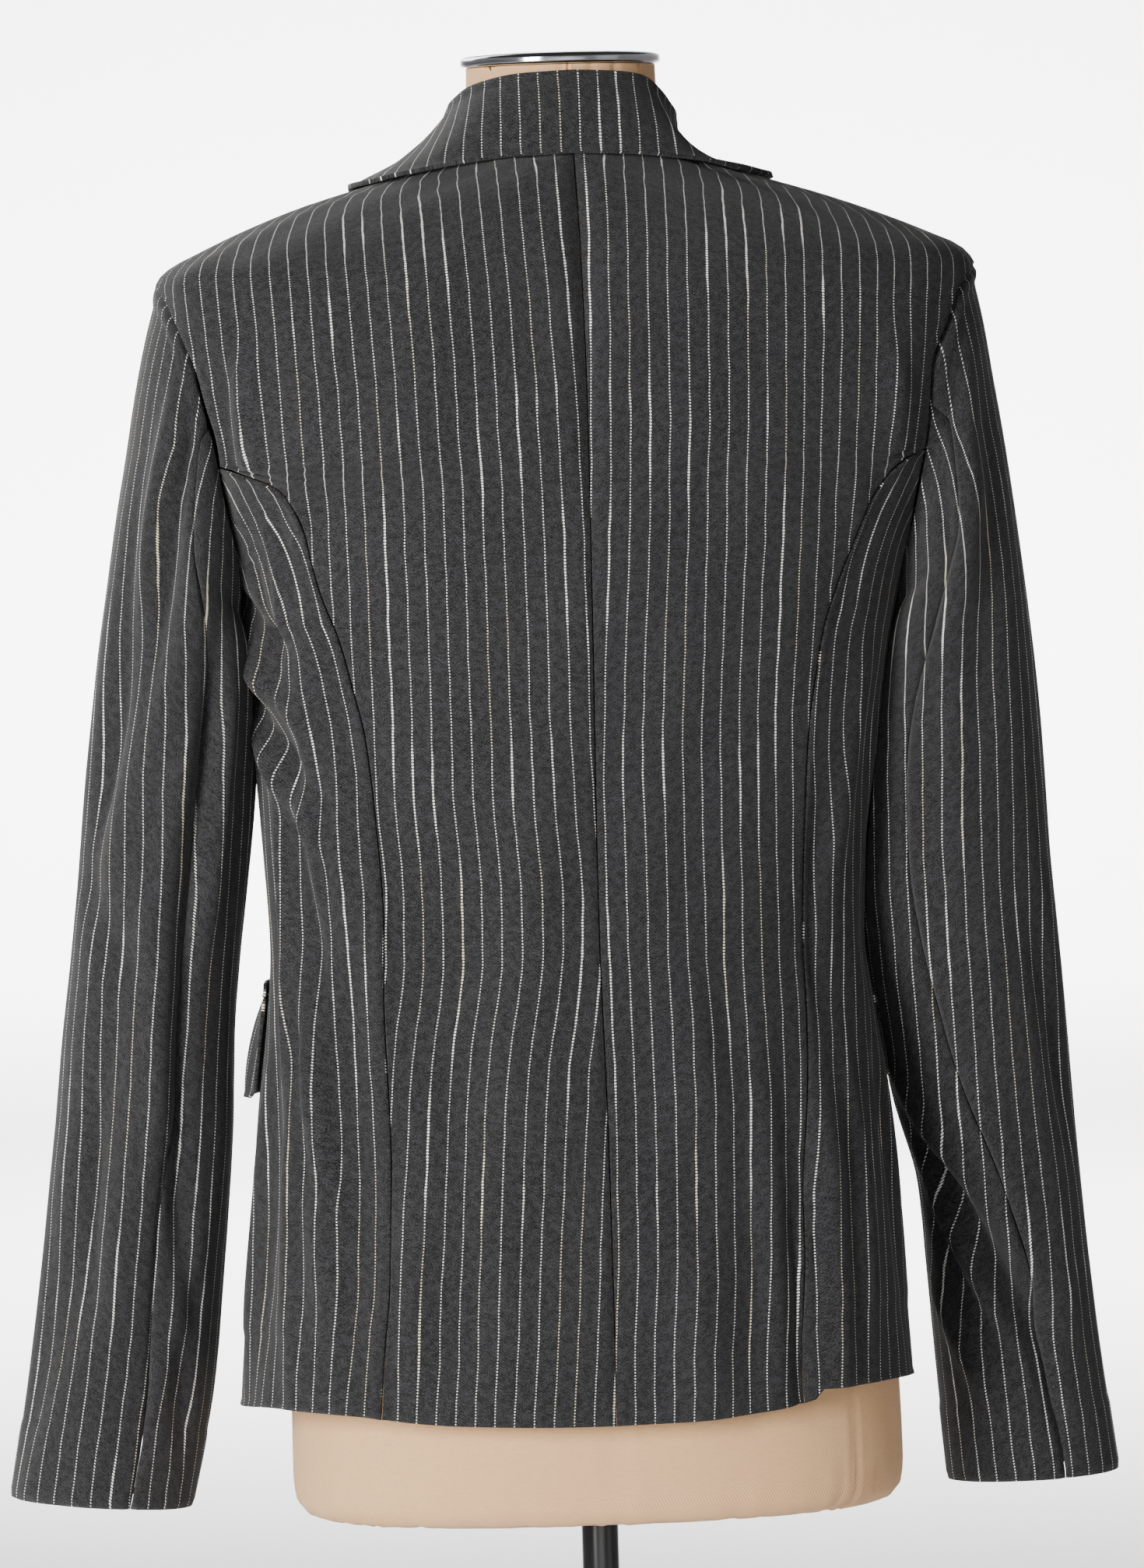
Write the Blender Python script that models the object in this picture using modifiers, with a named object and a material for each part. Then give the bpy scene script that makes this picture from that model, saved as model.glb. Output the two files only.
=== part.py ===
"""A pin-striped blazer worn by a limbless dress form on a round-footed pole stand.

Metres, +Z up. The garment's front faces -Y, the wearer's left is +X, and the floor is Z = 0 under the pole.

The body of the garment is one surface of level rings. Each ring is a rounded square of four quarters, with
its own reach to the left, right, back and front. A place on a ring is an angle: 0 at the centre back, 90 at
the left side, 180 at the centre front and -90 at the right side. Every panel is a stretch of that surface
between two seams, and folds move its points along the ring's outward direction.
"""

import math

import bmesh
import bpy

# ---------------------------------------------------------------- driving dimensions

CLOTH = 0.0016  # thickness of the made-up cloth
SEAM = 0.0005  # free width between two panels
PLY = 0.0022  # how far a second layer's outer face stands off the layer under it

HEM_BACK = 0.808
WAIST = 1.047
ARMPIT = 1.238
SHOULDER_TIP = 1.3915
SEAM_TOP = 1.296  # where the curved back seam runs into the armhole
FRONT_SEAM_TOP = 1.258  # where the side seam runs into the armhole in front
HEM_EVEN = 0.950  # above this height the panels' rows are level
NECK_BACK = 1.4425
NECK_SIDE = 1.4465
BREAK_POINT = 1.125  # where the lapels begin to turn back
FRONT_LAP = 0.019  # how far each front crosses the centre line
FRONT_CORNER = 0.075  # radius of the fronts' lower corners
LAP_LIFT = 0.0030  # the right front lies this far over the left one

ARMHOLE_GAP = 0.0028  # the sleeves start this far outside the armholes
SLEEVE_CLEAR = 0.0052  # least free space between a sleeve and the body

NECK_RADIUS = 0.0485
FORM_BOTTOM = 0.755
FORM_TOP = 1.4952
CAP_RADIUS = 0.0514
CAP_THICKNESS = 0.0058
TOUCH = 0.0003  # free space between two hard pieces that rest on each other
POLE_RADIUS = 0.0096
BASE_RADIUS = 0.165
BASE_THICKNESS = 0.012
BASE_HUB_RADIUS = 0.024
BASE_HUB_HEIGHT = 0.030

# Rings of the garment's body. Above the armpit the sides reach past the armhole, where no cloth is.
#            height, left,   right,  back,   front,  squareness
BODY_RINGS = (
    (0.780, 0.1840, 0.1645, 0.1120, 0.1180, 2.35),
    (0.822, 0.1810, 0.1625, 0.1130, 0.1190, 2.35),
    (0.860, 0.1780, 0.1605, 0.1140, 0.1200, 2.35),
    (0.909, 0.1735, 0.1585, 0.1120, 0.1200, 2.30),
    (0.967, 0.1680, 0.1530, 0.1040, 0.1160, 2.30),
    (1.010, 0.1630, 0.1470, 0.0940, 0.1110, 2.25),
    (1.047, 0.1605, 0.1425, 0.0870, 0.1070, 2.20),
    (1.090, 0.1620, 0.1450, 0.0860, 0.1080, 2.20),
    (1.140, 0.1645, 0.1515, 0.0900, 0.1150, 2.20),
    (1.190, 0.1690, 0.1590, 0.0960, 0.1240, 2.25),
    (1.238, 0.1740, 0.1680, 0.1000, 0.1270, 2.30),
    (1.290, 0.1900, 0.1870, 0.1030, 0.1190, 2.40),
    (1.335, 0.2030, 0.2010, 0.1010, 0.1030, 2.50),
    (1.366, 0.2085, 0.2070, 0.0960, 0.0890, 2.50),
    (1.3855, 0.2095, 0.2090, 0.0910, 0.0790, 2.55),
    (1.3915, 0.2070, 0.2070, 0.0890, 0.0760, 2.60),
    (1.397, 0.2000, 0.2010, 0.0875, 0.0735, 2.60),
    (1.402, 0.1900, 0.1900, 0.0860, 0.0710, 2.60),
    (1.4125, 0.1670, 0.1650, 0.0820, 0.0660, 2.65),
    (1.4255, 0.1330, 0.1290, 0.0760, 0.0600, 2.75),
    (1.434, 0.1030, 0.1010, 0.0710, 0.0570, 2.90),
    (1.4425, 0.0740, 0.0740, 0.0665, 0.0545, 2.90),
    (1.4500, 0.0560, 0.0560, 0.0620, 0.0520, 2.60),
)

# The curved seam between each back panel and its side panel: height and distance from the centre back.
#               height, left,   right
BACK_SEAM = (
    (0.780, 0.1190, 0.0985),
    (0.845, 0.1150, 0.1000),
    (0.880, 0.1110, 0.1010),
    (0.957, 0.1080, 0.1030),
    (1.005, 0.1080, 0.1050),
    (1.060, 0.1070, 0.1065),
    (1.119, 0.1100, 0.1085),
    (1.158, 0.1140, 0.1110),
    (1.182, 0.1195, 0.1145),
    (1.206, 0.1255, 0.1190),
    (1.230, 0.1340, 0.1275),
    (1.250, 0.1390, 0.1360),
    (1.268, 0.1430, 0.1430),
    (1.280, 0.1500, 0.1520),
    (1.287, 0.1590, 0.1580),
    (1.296, 0.1815, 0.1745),
)

# The armhole's edge: height and angle from the centre back. In front it has the same angles from the
# centre front.
#          height, left, right
ARMHOLE = (
    (1.2380, 90.0, 90.0),
    (1.2440, 81.5, 81.0),
    (1.2580, 76.5, 74.5),
    (1.2770, 72.8, 69.3),
    (1.2960, 69.1, 65.7),
    (1.3180, 66.9, 62.3),
    (1.3400, 66.9, 60.1),
    (1.3600, 69.6, 63.9),
    (1.3770, 76.3, 67.7),
    (1.3915, 90.0, 90.0),
)

# Heights of the panels' rows. Those in the armhole are the armhole's own.
LEVELS = (
    0.808, 0.838, 0.870, 0.902, 0.934, 0.967, 1.000, 1.031, 1.062, 1.094, 1.128, 1.162, 1.194, 1.218,
    1.238, 1.258, 1.277, 1.287, 1.2915, 1.296, 1.318, 1.340, 1.360, 1.377, 1.385, 1.3915, 1.402, 1.4125, 1.4225,
    1.4325, 1.4465,
)
SIDE_SPLIT = 1.194  # above it, a side panel's rows bend down to the armpit

# The seam between side panel and front: height, angle on the left and on the right.
SIDE_SEAM = (
    (0.780, 116.0, 116.0),
    (0.900, 116.0, 116.0),
    (1.047, 113.0, 113.0),
    (1.150, 113.0, 113.0),
    (1.200, 110.5, 110.7),
    (1.238, 106.0, 107.0),
    (1.258, 103.5, 105.5),
)

# Hem height round the body, by angle.
HEM = (
    (-180.0, 0.8060),
    (-128.0, 0.8120),
    (-90.0, 0.8190),
    (-60.0, 0.8230),
    (-42.0, 0.8225),
    (-36.0, 0.8190),
    (-26.0, 0.8135),
    (-12.0, 0.8095),
    (0.0, 0.8080),
    (20.0, 0.8095),
    (45.0, 0.8150),
    (66.0, 0.8165),
    (90.0, 0.8130),
    (128.0, 0.8080),
    (180.0, 0.8060),
)

# Folds of the body: a soft trough (depth below 0) or ridge (above 0) along a line between two places, each
# an angle and a height. Width is that of half the fold, across the line.
#    angle,  height, angle,  height, width,  depth
BODY_FOLDS = (
    (62.0, 1.020, 50.0, 0.880, 0.013, -0.0070),
    (48.0, 1.030, 40.0, 0.850, 0.016, 0.0040),
    (75.0, 1.000, 72.0, 0.850, 0.015, 0.0040),
    (55.0, 1.200, 58.0, 1.080, 0.010, -0.0050),
    (66.0, 1.210, 68.0, 1.090, 0.012, 0.0030),
    (9.0, 1.130, 7.0, 0.940, 0.020, -0.0050),
    (-9.0, 1.120, -12.0, 0.960, 0.020, -0.0040),
    (-36.0, 0.950, -34.0, 0.815, 0.013, 0.0050),
    (-44.0, 0.960, -42.0, 0.815, 0.010, -0.0060),
    (-22.0, 0.940, -24.0, 0.815, 0.016, 0.0040),
    (-13.0, 0.900, -12.0, 0.815, 0.012, -0.0030),
    (-62.0, 1.190, -58.0, 1.090, 0.011, -0.0040),
    (-30.0, 1.330, -46.0, 1.270, 0.014, 0.0020),
    (30.0, 1.330, 47.0, 1.265, 0.014, 0.0020),
    (128.0, 1.200, 138.0, 1.090, 0.016, -0.0040),
    (-128.0, 1.200, -140.0, 1.090, 0.016, -0.0040),
    (104.0, 1.180, 110.0, 1.070, 0.013, -0.0040),
    (-104.0, 1.180, -111.0, 1.075, 0.013, -0.0040),
    (150.0, 1.060, 140.0, 0.960, 0.018, -0.0030),
    (-150.0, 1.060, -142.0, 0.960, 0.018, -0.0030),
)
FOLD_RADIUS = 0.150  # turns an angle into a distance where a fold's width is measured

# Sections of the sleeves below the armhole: outermost and innermost point as seen from behind, middle
# depth and half depth.
#    outer,  height, inner,  height, depth,  half
SLEEVE_LEFT = (
    (0.2115, 1.3800, 0.1765, 1.2345, -0.0010, 0.0545),
    (0.2170, 1.3600, 0.1765, 1.2300, -0.0020, 0.0575),
    (0.2225, 1.3350, 0.1745, 1.2245, -0.0030, 0.0600),
    (0.2285, 1.3020, 0.1710, 1.2170, -0.0040, 0.0610),
    (0.2350, 1.2680, 0.1670, 1.2080, -0.0060, 0.0605),
    (0.2405, 1.2350, 0.1630, 1.1960, -0.0080, 0.0590),
    (0.2455, 1.2020, 0.1620, 1.1780, -0.0100, 0.0570),
    (0.2500, 1.1650, 0.1640, 1.1520, -0.0125, 0.0540),
    (0.2550, 1.1250, 0.1670, 1.1170, -0.0160, 0.0510),
    (0.2590, 1.0850, 0.1715, 1.0790, -0.0190, 0.0485),
    (0.2635, 1.0450, 0.1765, 1.0390, -0.0230, 0.0470),
    (0.2685, 1.0050, 0.1800, 0.9990, -0.0280, 0.0455),
    (0.2730, 0.9620, 0.1815, 0.9560, -0.0340, 0.0440),
    (0.2785, 0.9180, 0.1850, 0.9120, -0.0390, 0.0425),
    (0.2840, 0.8740, 0.1895, 0.8680, -0.0450, 0.0410),
    (0.2905, 0.8280, 0.1945, 0.8210, -0.0500, 0.0400),
    (0.2960, 0.7950, 0.2010, 0.7860, -0.0530, 0.0395),
    (0.3015, 0.7640, 0.2075, 0.7560, -0.0560, 0.0385),
)
SLEEVE_RIGHT = (
    (0.2105, 1.3800, 0.1750, 1.2345, -0.0010, 0.0545),
    (0.2145, 1.3600, 0.1740, 1.2300, -0.0020, 0.0575),
    (0.2185, 1.3350, 0.1710, 1.2245, -0.0030, 0.0600),
    (0.2240, 1.3020, 0.1660, 1.2170, -0.0040, 0.0610),
    (0.2290, 1.2680, 0.1600, 1.2080, -0.0060, 0.0605),
    (0.2330, 1.2350, 0.1540, 1.1960, -0.0080, 0.0590),
    (0.2365, 1.2020, 0.1490, 1.1780, -0.0100, 0.0570),
    (0.2400, 1.1650, 0.1440, 1.1520, -0.0125, 0.0545),
    (0.2430, 1.1250, 0.1410, 1.1170, -0.0160, 0.0520),
    (0.2455, 1.0850, 0.1405, 1.0790, -0.0190, 0.0500),
    (0.2490, 1.0450, 0.1450, 1.0390, -0.0230, 0.0480),
    (0.2525, 1.0050, 0.1540, 0.9990, -0.0280, 0.0460),
    (0.2560, 0.9620, 0.1630, 0.9560, -0.0340, 0.0445),
    (0.2595, 0.9180, 0.1750, 0.9120, -0.0390, 0.0430),
    (0.2635, 0.8740, 0.1790, 0.8680, -0.0450, 0.0415),
    (0.2690, 0.8280, 0.1825, 0.8220, -0.0500, 0.0400),
    (0.2745, 0.7900, 0.1855, 0.7850, -0.0530, 0.0395),
    (0.2790, 0.7580, 0.1885, 0.7550, -0.0560, 0.0385),
)

# The sleeve's back seam: height, and angle from the outer line towards the back.
SLEEVE_SEAM_LEFT = ((0.756, 107.0), (0.860, 101.0), (0.900, 103.0), (0.930, 110.0), (1.150, 108.0), (1.300, 92.0))
SLEEVE_SEAM_RIGHT = ((0.756, 74.0), (0.820, 82.0), (0.890, 100.0), (0.960, 115.0), (1.090, 122.0), (1.300, 92.0))
SLEEVE_FRONT_SEAM = -112.0
SLEEVE_ROWS = 26
BACK_SEAM_KNOT = 1.318  # the armhole heights at which the two sleeve seams start
FRONT_SEAM_KNOT = 1.296

# Folds of the sleeves, as those of the body, with the angle from the outer line towards the back.
#    angle,  height, angle,  height, width,  depth
FOLDS_LEFT = (
    (70.0, 1.255, 25.0, 1.120, 0.014, -0.0055),
    (100.0, 1.240, 60.0, 1.110, 0.013, 0.0030),
    (60.0, 1.010, 40.0, 0.830, 0.014, -0.0060),
    (92.0, 1.000, 80.0, 0.850, 0.013, 0.0030),
    (20.0, 1.090, 70.0, 1.040, 0.012, -0.0030),
    (-80.0, 1.140, -40.0, 1.070, 0.014, -0.0045),
    (-90.0, 1.070, -45.0, 1.010, 0.013, -0.0040),
    (-60.0, 0.980, -70.0, 0.820, 0.014, -0.0035),
)
FOLDS_RIGHT = (
    (68.0, 1.345, 100.0, 1.200, 0.014, 0.0040),
    (48.0, 1.320, 80.0, 1.150, 0.013, -0.0040),
    (128.0, 0.915, 84.0, 0.830, 0.013, -0.0055),
    (108.0, 0.960, 62.0, 0.850, 0.013, 0.0040),
    (60.0, 1.080, 30.0, 0.950, 0.014, -0.0030),
    (-80.0, 1.140, -40.0, 1.070, 0.014, -0.0045),
    (-90.0, 1.060, -45.0, 1.000, 0.013, -0.0040),
)
SLEEVE_FOLD_RADIUS = 0.048

# Collar, from the centre back to one front end: the roll's angle round the neck, reach and height, the
# outer edge's angle, reach and height, and how far the cloth bows out between them.
#    share, angle, reach,  height, angle, reach,  height, bow
COLLAR = (
    (0.00, 0.0, 0.0560, 1.4905, 0.0, 0.0690, 1.4505, 0.0045),
    (0.14, 22.0, 0.0558, 1.4895, 25.0, 0.0730, 1.4495, 0.0040),
    (0.27, 42.0, 0.0552, 1.4870, 45.0, 0.0825, 1.4465, 0.0010),
    (0.38, 58.0, 0.0546, 1.4845, 61.0, 0.0940, 1.4425, -0.0025),
    (0.48, 72.0, 0.0545, 1.4810, 74.0, 0.1030, 1.4400, -0.0045),
    (0.58, 88.0, 0.0552, 1.4760, 86.0, 0.1075, 1.4385, -0.0045),
    (0.68, 102.0, 0.0580, 1.4690, 97.0, 0.1100, 1.4370, -0.0030),
    (0.78, 116.0, 0.0640, 1.4580, 107.0, 0.1130, 1.4340, -0.0010),
    (0.89, 131.0, 0.0740, 1.4450, 117.0, 0.1170, 1.4230, 0.0010),
    (1.00, 144.0, 0.0890, 1.4060, 125.0, 0.1240, 1.3950, 0.0010),
)
COLLAR_CLEAR = 0.0034  # least free space from the body's outer face to the collar's
STAND_END = 0.68  # share of the collar's half that the stand takes up
STAND_FOOT = 1.4490
STAND_FOOT_REACH = 0.0615

# Lapels: share of the way from the break point up to the neck, and width of the turned-back cloth.
LAPEL_WIDTH = ((0.0, 0.002), (0.2, 0.028), (0.5, 0.054), (0.70, 0.072), (0.80, 0.076))
LAPEL_START = (0.145, 0.012)  # shares at which the left and the right lapel begin
LAPEL_END = 0.80
GORGE_RISE = 0.020  # the lapel's upper edge climbs this far from its tip to the neck

POCKET_TOP = 1.022
POCKET_ANGLES = ((91.0, 137.0), (104.0, 143.0))  # left and right
FLAP_SWING = (0.0068, 0.0030)  # how far the flaps' lower edges stand off
FLAP_HEIGHT = 0.052
WELT_HEIGHT = 0.0075

# Rings of the dress form, with the same columns as the garment's.
FORM_RINGS = (
    (0.755, 0.1450, 0.1450, 0.0900, 0.0950, 2.30),
    (0.757, 0.1510, 0.1510, 0.0950, 0.1000, 2.30),
    (0.763, 0.1560, 0.1560, 0.0985, 0.1045, 2.30),
    (0.775, 0.1575, 0.1575, 0.0995, 0.1060, 2.30),
    (0.830, 0.1570, 0.1560, 0.1000, 0.1060, 2.30),
    (0.890, 0.1530, 0.1520, 0.0970, 0.1030, 2.25),
    (0.960, 0.1440, 0.1400, 0.0860, 0.0950, 2.20),
    (1.047, 0.1230, 0.1220, 0.0700, 0.0840, 2.10),
    (1.120, 0.1290, 0.1290, 0.0740, 0.0920, 2.15),
    (1.200, 0.1430, 0.1430, 0.0830, 0.1090, 2.20),
    (1.270, 0.1550, 0.1550, 0.0900, 0.1040, 2.30),
    (1.330, 0.1700, 0.1700, 0.0930, 0.0900, 2.40),
    (1.370, 0.1840, 0.1840, 0.0900, 0.0800, 2.45),
    (1.390, 0.1895, 0.1895, 0.0860, 0.0725, 2.55),
    (1.402, 0.1869, 0.1869, 0.0848, 0.0699, 2.60),
    (1.4125, 0.1640, 0.1620, 0.0808, 0.0650, 2.65),
    (1.4235, 0.1344, 0.1306, 0.0759, 0.0599, 2.72),
    (1.434, 0.0740, 0.0740, 0.0590, 0.0510, 2.40),
    (1.445, 0.0560, 0.0560, 0.0520, 0.0490, 2.15),
    (1.460, 0.0494, 0.0494, 0.0490, 0.0485, 2.00),
    (1.4952, 0.0485, 0.0485, 0.0485, 0.0485, 2.00),
)

CHARCOAL = (0.036, 0.036, 0.042)
CANVAS = (0.62, 0.50, 0.38)

# ---------------------------------------------------------------- small tools


def table(rows, value, column=1):
    """The column's value where the first column holds `value`, along a smooth curve through the rows."""
    last = len(rows) - 1
    if value <= rows[0][0]:
        return rows[0][column]
    if value >= rows[last][0]:
        return rows[last][column]
    at = max(i for i in range(last) if rows[i][0] <= value)
    x0, x1 = rows[at][0], rows[at + 1][0]
    y0, y1 = rows[at][column], rows[at + 1][column]
    rise = (y1 - y0) / (x1 - x0)
    before = rise if at == 0 else (y0 - rows[at - 1][column]) / (x0 - rows[at - 1][0])
    after = rise if at + 1 == last else (rows[at + 2][column] - y1) / (rows[at + 2][0] - x1)
    slope0 = 0.0 if before * rise <= 0 else 2 * before * rise / (before + rise)
    slope1 = 0.0 if after * rise <= 0 else 2 * after * rise / (after + rise)
    width = x1 - x0
    t = (value - x0) / width
    start = (1 + 2 * t) * (1 - t) ** 2 * y0 + t * (1 - t) ** 2 * width * slope0
    end = t * t * (3 - 2 * t) * y1 + t * t * (t - 1) * width * slope1
    return start + end


def soft_step(value, low, high):
    """0 below `low`, 1 above `high`, smooth between."""
    t = min(max((value - low) / (high - low), 0.0), 1.0)
    return t * t * (3 - 2 * t)


def mix(a, b, t):
    return a + (b - a) * t


def fold_height(folds, across, along, across_scale, along_scale):
    """How far the folds stand out at a place. Each fold fades at both ends."""
    total = 0.0
    px, py = across * across_scale, along * along_scale
    for a0, b0, a1, b1, width, depth in folds:
        x0, y0 = a0 * across_scale, b0 * along_scale
        dx, dy = a1 * across_scale - x0, b1 * along_scale - y0
        length = math.hypot(dx, dy)
        t = ((px - x0) * dx + (py - y0) * dy) / length**2
        if -0.3 < t < 1.3:
            side = ((px - x0) * dy - (py - y0) * dx) / length
            fade = soft_step(t, -0.3, 0.25) * (1 - soft_step(t, 0.75, 1.3))
            total += depth * fade * math.exp(-((side / width) ** 2))
    return total


# ---------------------------------------------------------------- the body surface


def ring_point(rings, angle, height, out=0.0):
    """A place on a ring surface, moved `out` along the ring's own outward direction."""
    turn = math.radians(angle)
    side, ahead = math.sin(turn), math.cos(turn)
    half = table(rings, height, 1 if side >= 0 else 2)
    deep = table(rings, height, 3 if ahead >= 0 else 4)
    power = table(rings, height, 5)
    x = math.copysign(half * abs(side) ** (2 / power), side)
    y = math.copysign(deep * abs(ahead) ** (2 / power), ahead)
    nx = math.copysign(abs(side) ** (2 - 2 / power) / half, side)
    ny = math.copysign(abs(ahead) ** (2 - 2 / power) / deep, ahead)
    length = math.hypot(nx, ny)
    return (x + out * nx / length, y + out * ny / length, height)


def angle_at(x, height, front=False):
    """The angle on the garment's ring at `height` that lies `x` from the centre line."""
    half = table(BODY_RINGS, height, 1 if x >= 0 else 2)
    power = table(BODY_RINGS, height, 5)
    turn = math.degrees(math.asin(min(abs(x) / half, 1.0) ** (power / 2)))
    return math.copysign(180 - turn if front else turn, x)


def body_point(angle, height, out=0.0):
    """A place on the garment's outer face. Angles past 180 run on round the front."""
    if angle > 180:
        angle -= 360
    if angle < -180:
        angle += 360
    folds = fold_height(BODY_FOLDS, angle, height, math.radians(FOLD_RADIUS), 1.0)
    calm = 1 - soft_step(abs(angle), 150, 172)
    return ring_point(BODY_RINGS, angle, height, out + folds * calm)


def seam_step(angle, height):
    """The angle that half a seam's free width takes up near a place."""
    a, b = ring_point(BODY_RINGS, angle - 0.5, height), ring_point(BODY_RINGS, angle + 0.5, height)
    return SEAM / 2 / math.dist(a, b)


def armhole_angle(height, side, front):
    """The angle of the armhole's edge, which meets the shoulder seam at the top and the armpit below."""
    if height >= SHOULDER_TIP or height <= ARMPIT:
        return 90.0 * side
    angle = table(ARMHOLE, height, 1 if side > 0 else 2)
    return side * (180 - angle if front else angle)


def back_edge(height, side):
    """The outer edge of a back panel: curved seam, then armhole, then shoulder seam."""
    if height < SEAM_TOP - 1e-6:
        return angle_at(side * table(BACK_SEAM, height, 1 if side > 0 else 2), height)
    return armhole_angle(height, side, False)


def side_edge(height, side):
    """The seam between side panel and front, then the front of the armhole, then the shoulder seam."""
    if height < FRONT_SEAM_TOP - 1e-6:
        return side * table(SIDE_SEAM, height, 1 if side > 0 else 2)
    return armhole_angle(height, side, True)


def front_x_angle(x, height, side):
    """The angle on the front at a distance from the centre, which is below 0 past the centre."""
    if x >= 0:
        return angle_at(side * x, height, True)
    return side * (360 - abs(angle_at(-side * x, height, True)))


def front_edge_x(height):
    """The front's free edge: past the centre below the break point, and then along the lapel's fold."""
    rise = max(height - BREAK_POINT, 0.0) / (NECK_SIDE - BREAK_POINT)
    return mix(-FRONT_LAP, table(BODY_RINGS, NECK_SIDE, 1) - 0.0035, rise)


def front_edge(height, side):
    return front_x_angle(front_edge_x(height), height, side)


# ---------------------------------------------------------------- making objects


def clear_scene():
    for old in list(bpy.data.objects):
        bpy.data.objects.remove(old, do_unlink=True)
    for group in list(bpy.data.collections):
        bpy.data.collections.remove(group)


def make_material(name, colour, roughness, metallic=0.0):
    material = bpy.data.materials.new(name)
    material.use_nodes = True
    shader = material.node_tree.nodes["Principled BSDF"]
    shader.inputs["Base Color"].default_value = (*colour, 1.0)
    shader.inputs["Roughness"].default_value = roughness
    shader.inputs["Metallic"].default_value = metallic
    material.diffuse_color = (*colour, 1.0)
    return material


def add_object(name, mesh, material, smooth_angle=50.0):
    mesh.materials.append(material)
    mesh.shade_smooth()
    mesh.set_sharp_from_angle(angle=math.radians(smooth_angle))
    made = bpy.data.objects.new(name, mesh)
    bpy.data.collections["blazer_on_dress_form"].objects.link(made)
    return made


def grid_mesh(name, columns, rows, place, closed=False):
    """A grid bent to shape: place(s, t) gives the point for shares 0 to 1 across and up."""
    shape = bmesh.new()
    bmesh.ops.create_grid(shape, x_segments=columns, y_segments=rows, size=1.0)
    for vertex in shape.verts:
        vertex.co = place((vertex.co.x + 1) / 2, (vertex.co.y + 1) / 2)
    if closed:
        bmesh.ops.remove_doubles(shape, verts=shape.verts, dist=1e-6)
        bmesh.ops.holes_fill(shape, edges=shape.edges, sides=0)
        bmesh.ops.recalc_face_normals(shape, faces=shape.faces)
    mesh = bpy.data.meshes.new(name)
    shape.to_mesh(mesh)
    shape.free()
    return mesh


def add_sheet(name, columns, rows, place, material, flip=False, thickness=CLOTH):
    """A cloth piece: a bent grid whose outer face is the one given, thickened inwards."""
    mesh = grid_mesh(name, columns, rows, place)
    if flip:
        mesh.flip_normals()
    made = add_object(name, mesh, material)
    wall = made.modifiers.new("cloth", "SOLIDIFY")
    wall.thickness = thickness
    wall.offset = -1.0
    wall.use_even_offset = True
    return made


def add_turned(name, profile, material, steps=28):
    """A turned piece. The profile is (radius, height) down its outer side, from the axis to the axis."""
    mesh = bpy.data.meshes.new(name)
    mesh.from_pydata([(r, 0.0, z) for r, z in profile], [(i, i + 1) for i in range(len(profile) - 1)], [])
    made = add_object(name, mesh, material)
    turn = made.modifiers.new("turn", "SCREW")
    turn.steps = steps
    turn.render_steps = steps
    turn.use_merge_vertices = True
    turn.merge_threshold = 0.00005
    return made


def rounded_plate(radius, low, high, edge, arc=3):
    """A profile for a round plate with a rounded rim."""
    points = [(0.0, high)]
    for i in range(arc + 1):
        turn = math.radians(90 * i / arc)
        points.append((radius - edge + edge * math.sin(turn), high - edge + edge * math.cos(turn)))
    for i in range(arc + 1):
        turn = math.radians(90 * i / arc)
        points.append((radius - edge + edge * math.cos(turn), low + edge - edge * math.sin(turn)))
    points.append((0.0, low))
    return points


# ---------------------------------------------------------------- body panels

def row_height(level, low):
    """A row's height where the hem lies at `low`."""
    if level >= HEM_EVEN:
        return level
    return mix(low, HEM_EVEN, (level - HEM_BACK) / (HEM_EVEN - HEM_BACK))


def between(start, end, share, height):
    """The angle a share of the way between two seams, clear of both by half a seam's free width."""
    start += math.copysign(seam_step(start, height), end - start)
    end -= math.copysign(seam_step(end, height), end - start)
    return mix(start, end, share)


def panel_place(inner, outer, levels, low, high, out=None):
    """A place function for a panel between two edge angles, with its rows at the given levels."""

    def place(s, t):
        row = round(t * (len(levels) - 1))
        height = row_height(levels[row], low(s)) if row < len(levels) - 1 else high(s)
        angle = between(inner(height), outer(height), s, height)
        return body_point(angle, height, out(angle, height) if out else 0.0)

    return place


def hem_between(inner, outer):
    """The hem's height for a share across a panel, from the angles of its edges at the hem."""
    return lambda s: table(HEM, mix(inner(HEM_BACK), outer(HEM_BACK), s))


def add_back(side, material):
    def inner(height):
        return 0.0

    def outer(height):
        return back_edge(height, side)

    def high(s):
        return mix(NECK_BACK, NECK_SIDE, s)

    place = panel_place(inner, outer, LEVELS, hem_between(inner, outer), high)
    add_sheet("back_" + side_name(side), 9, len(LEVELS) - 1, place, material, flip=side < 0)


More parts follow.
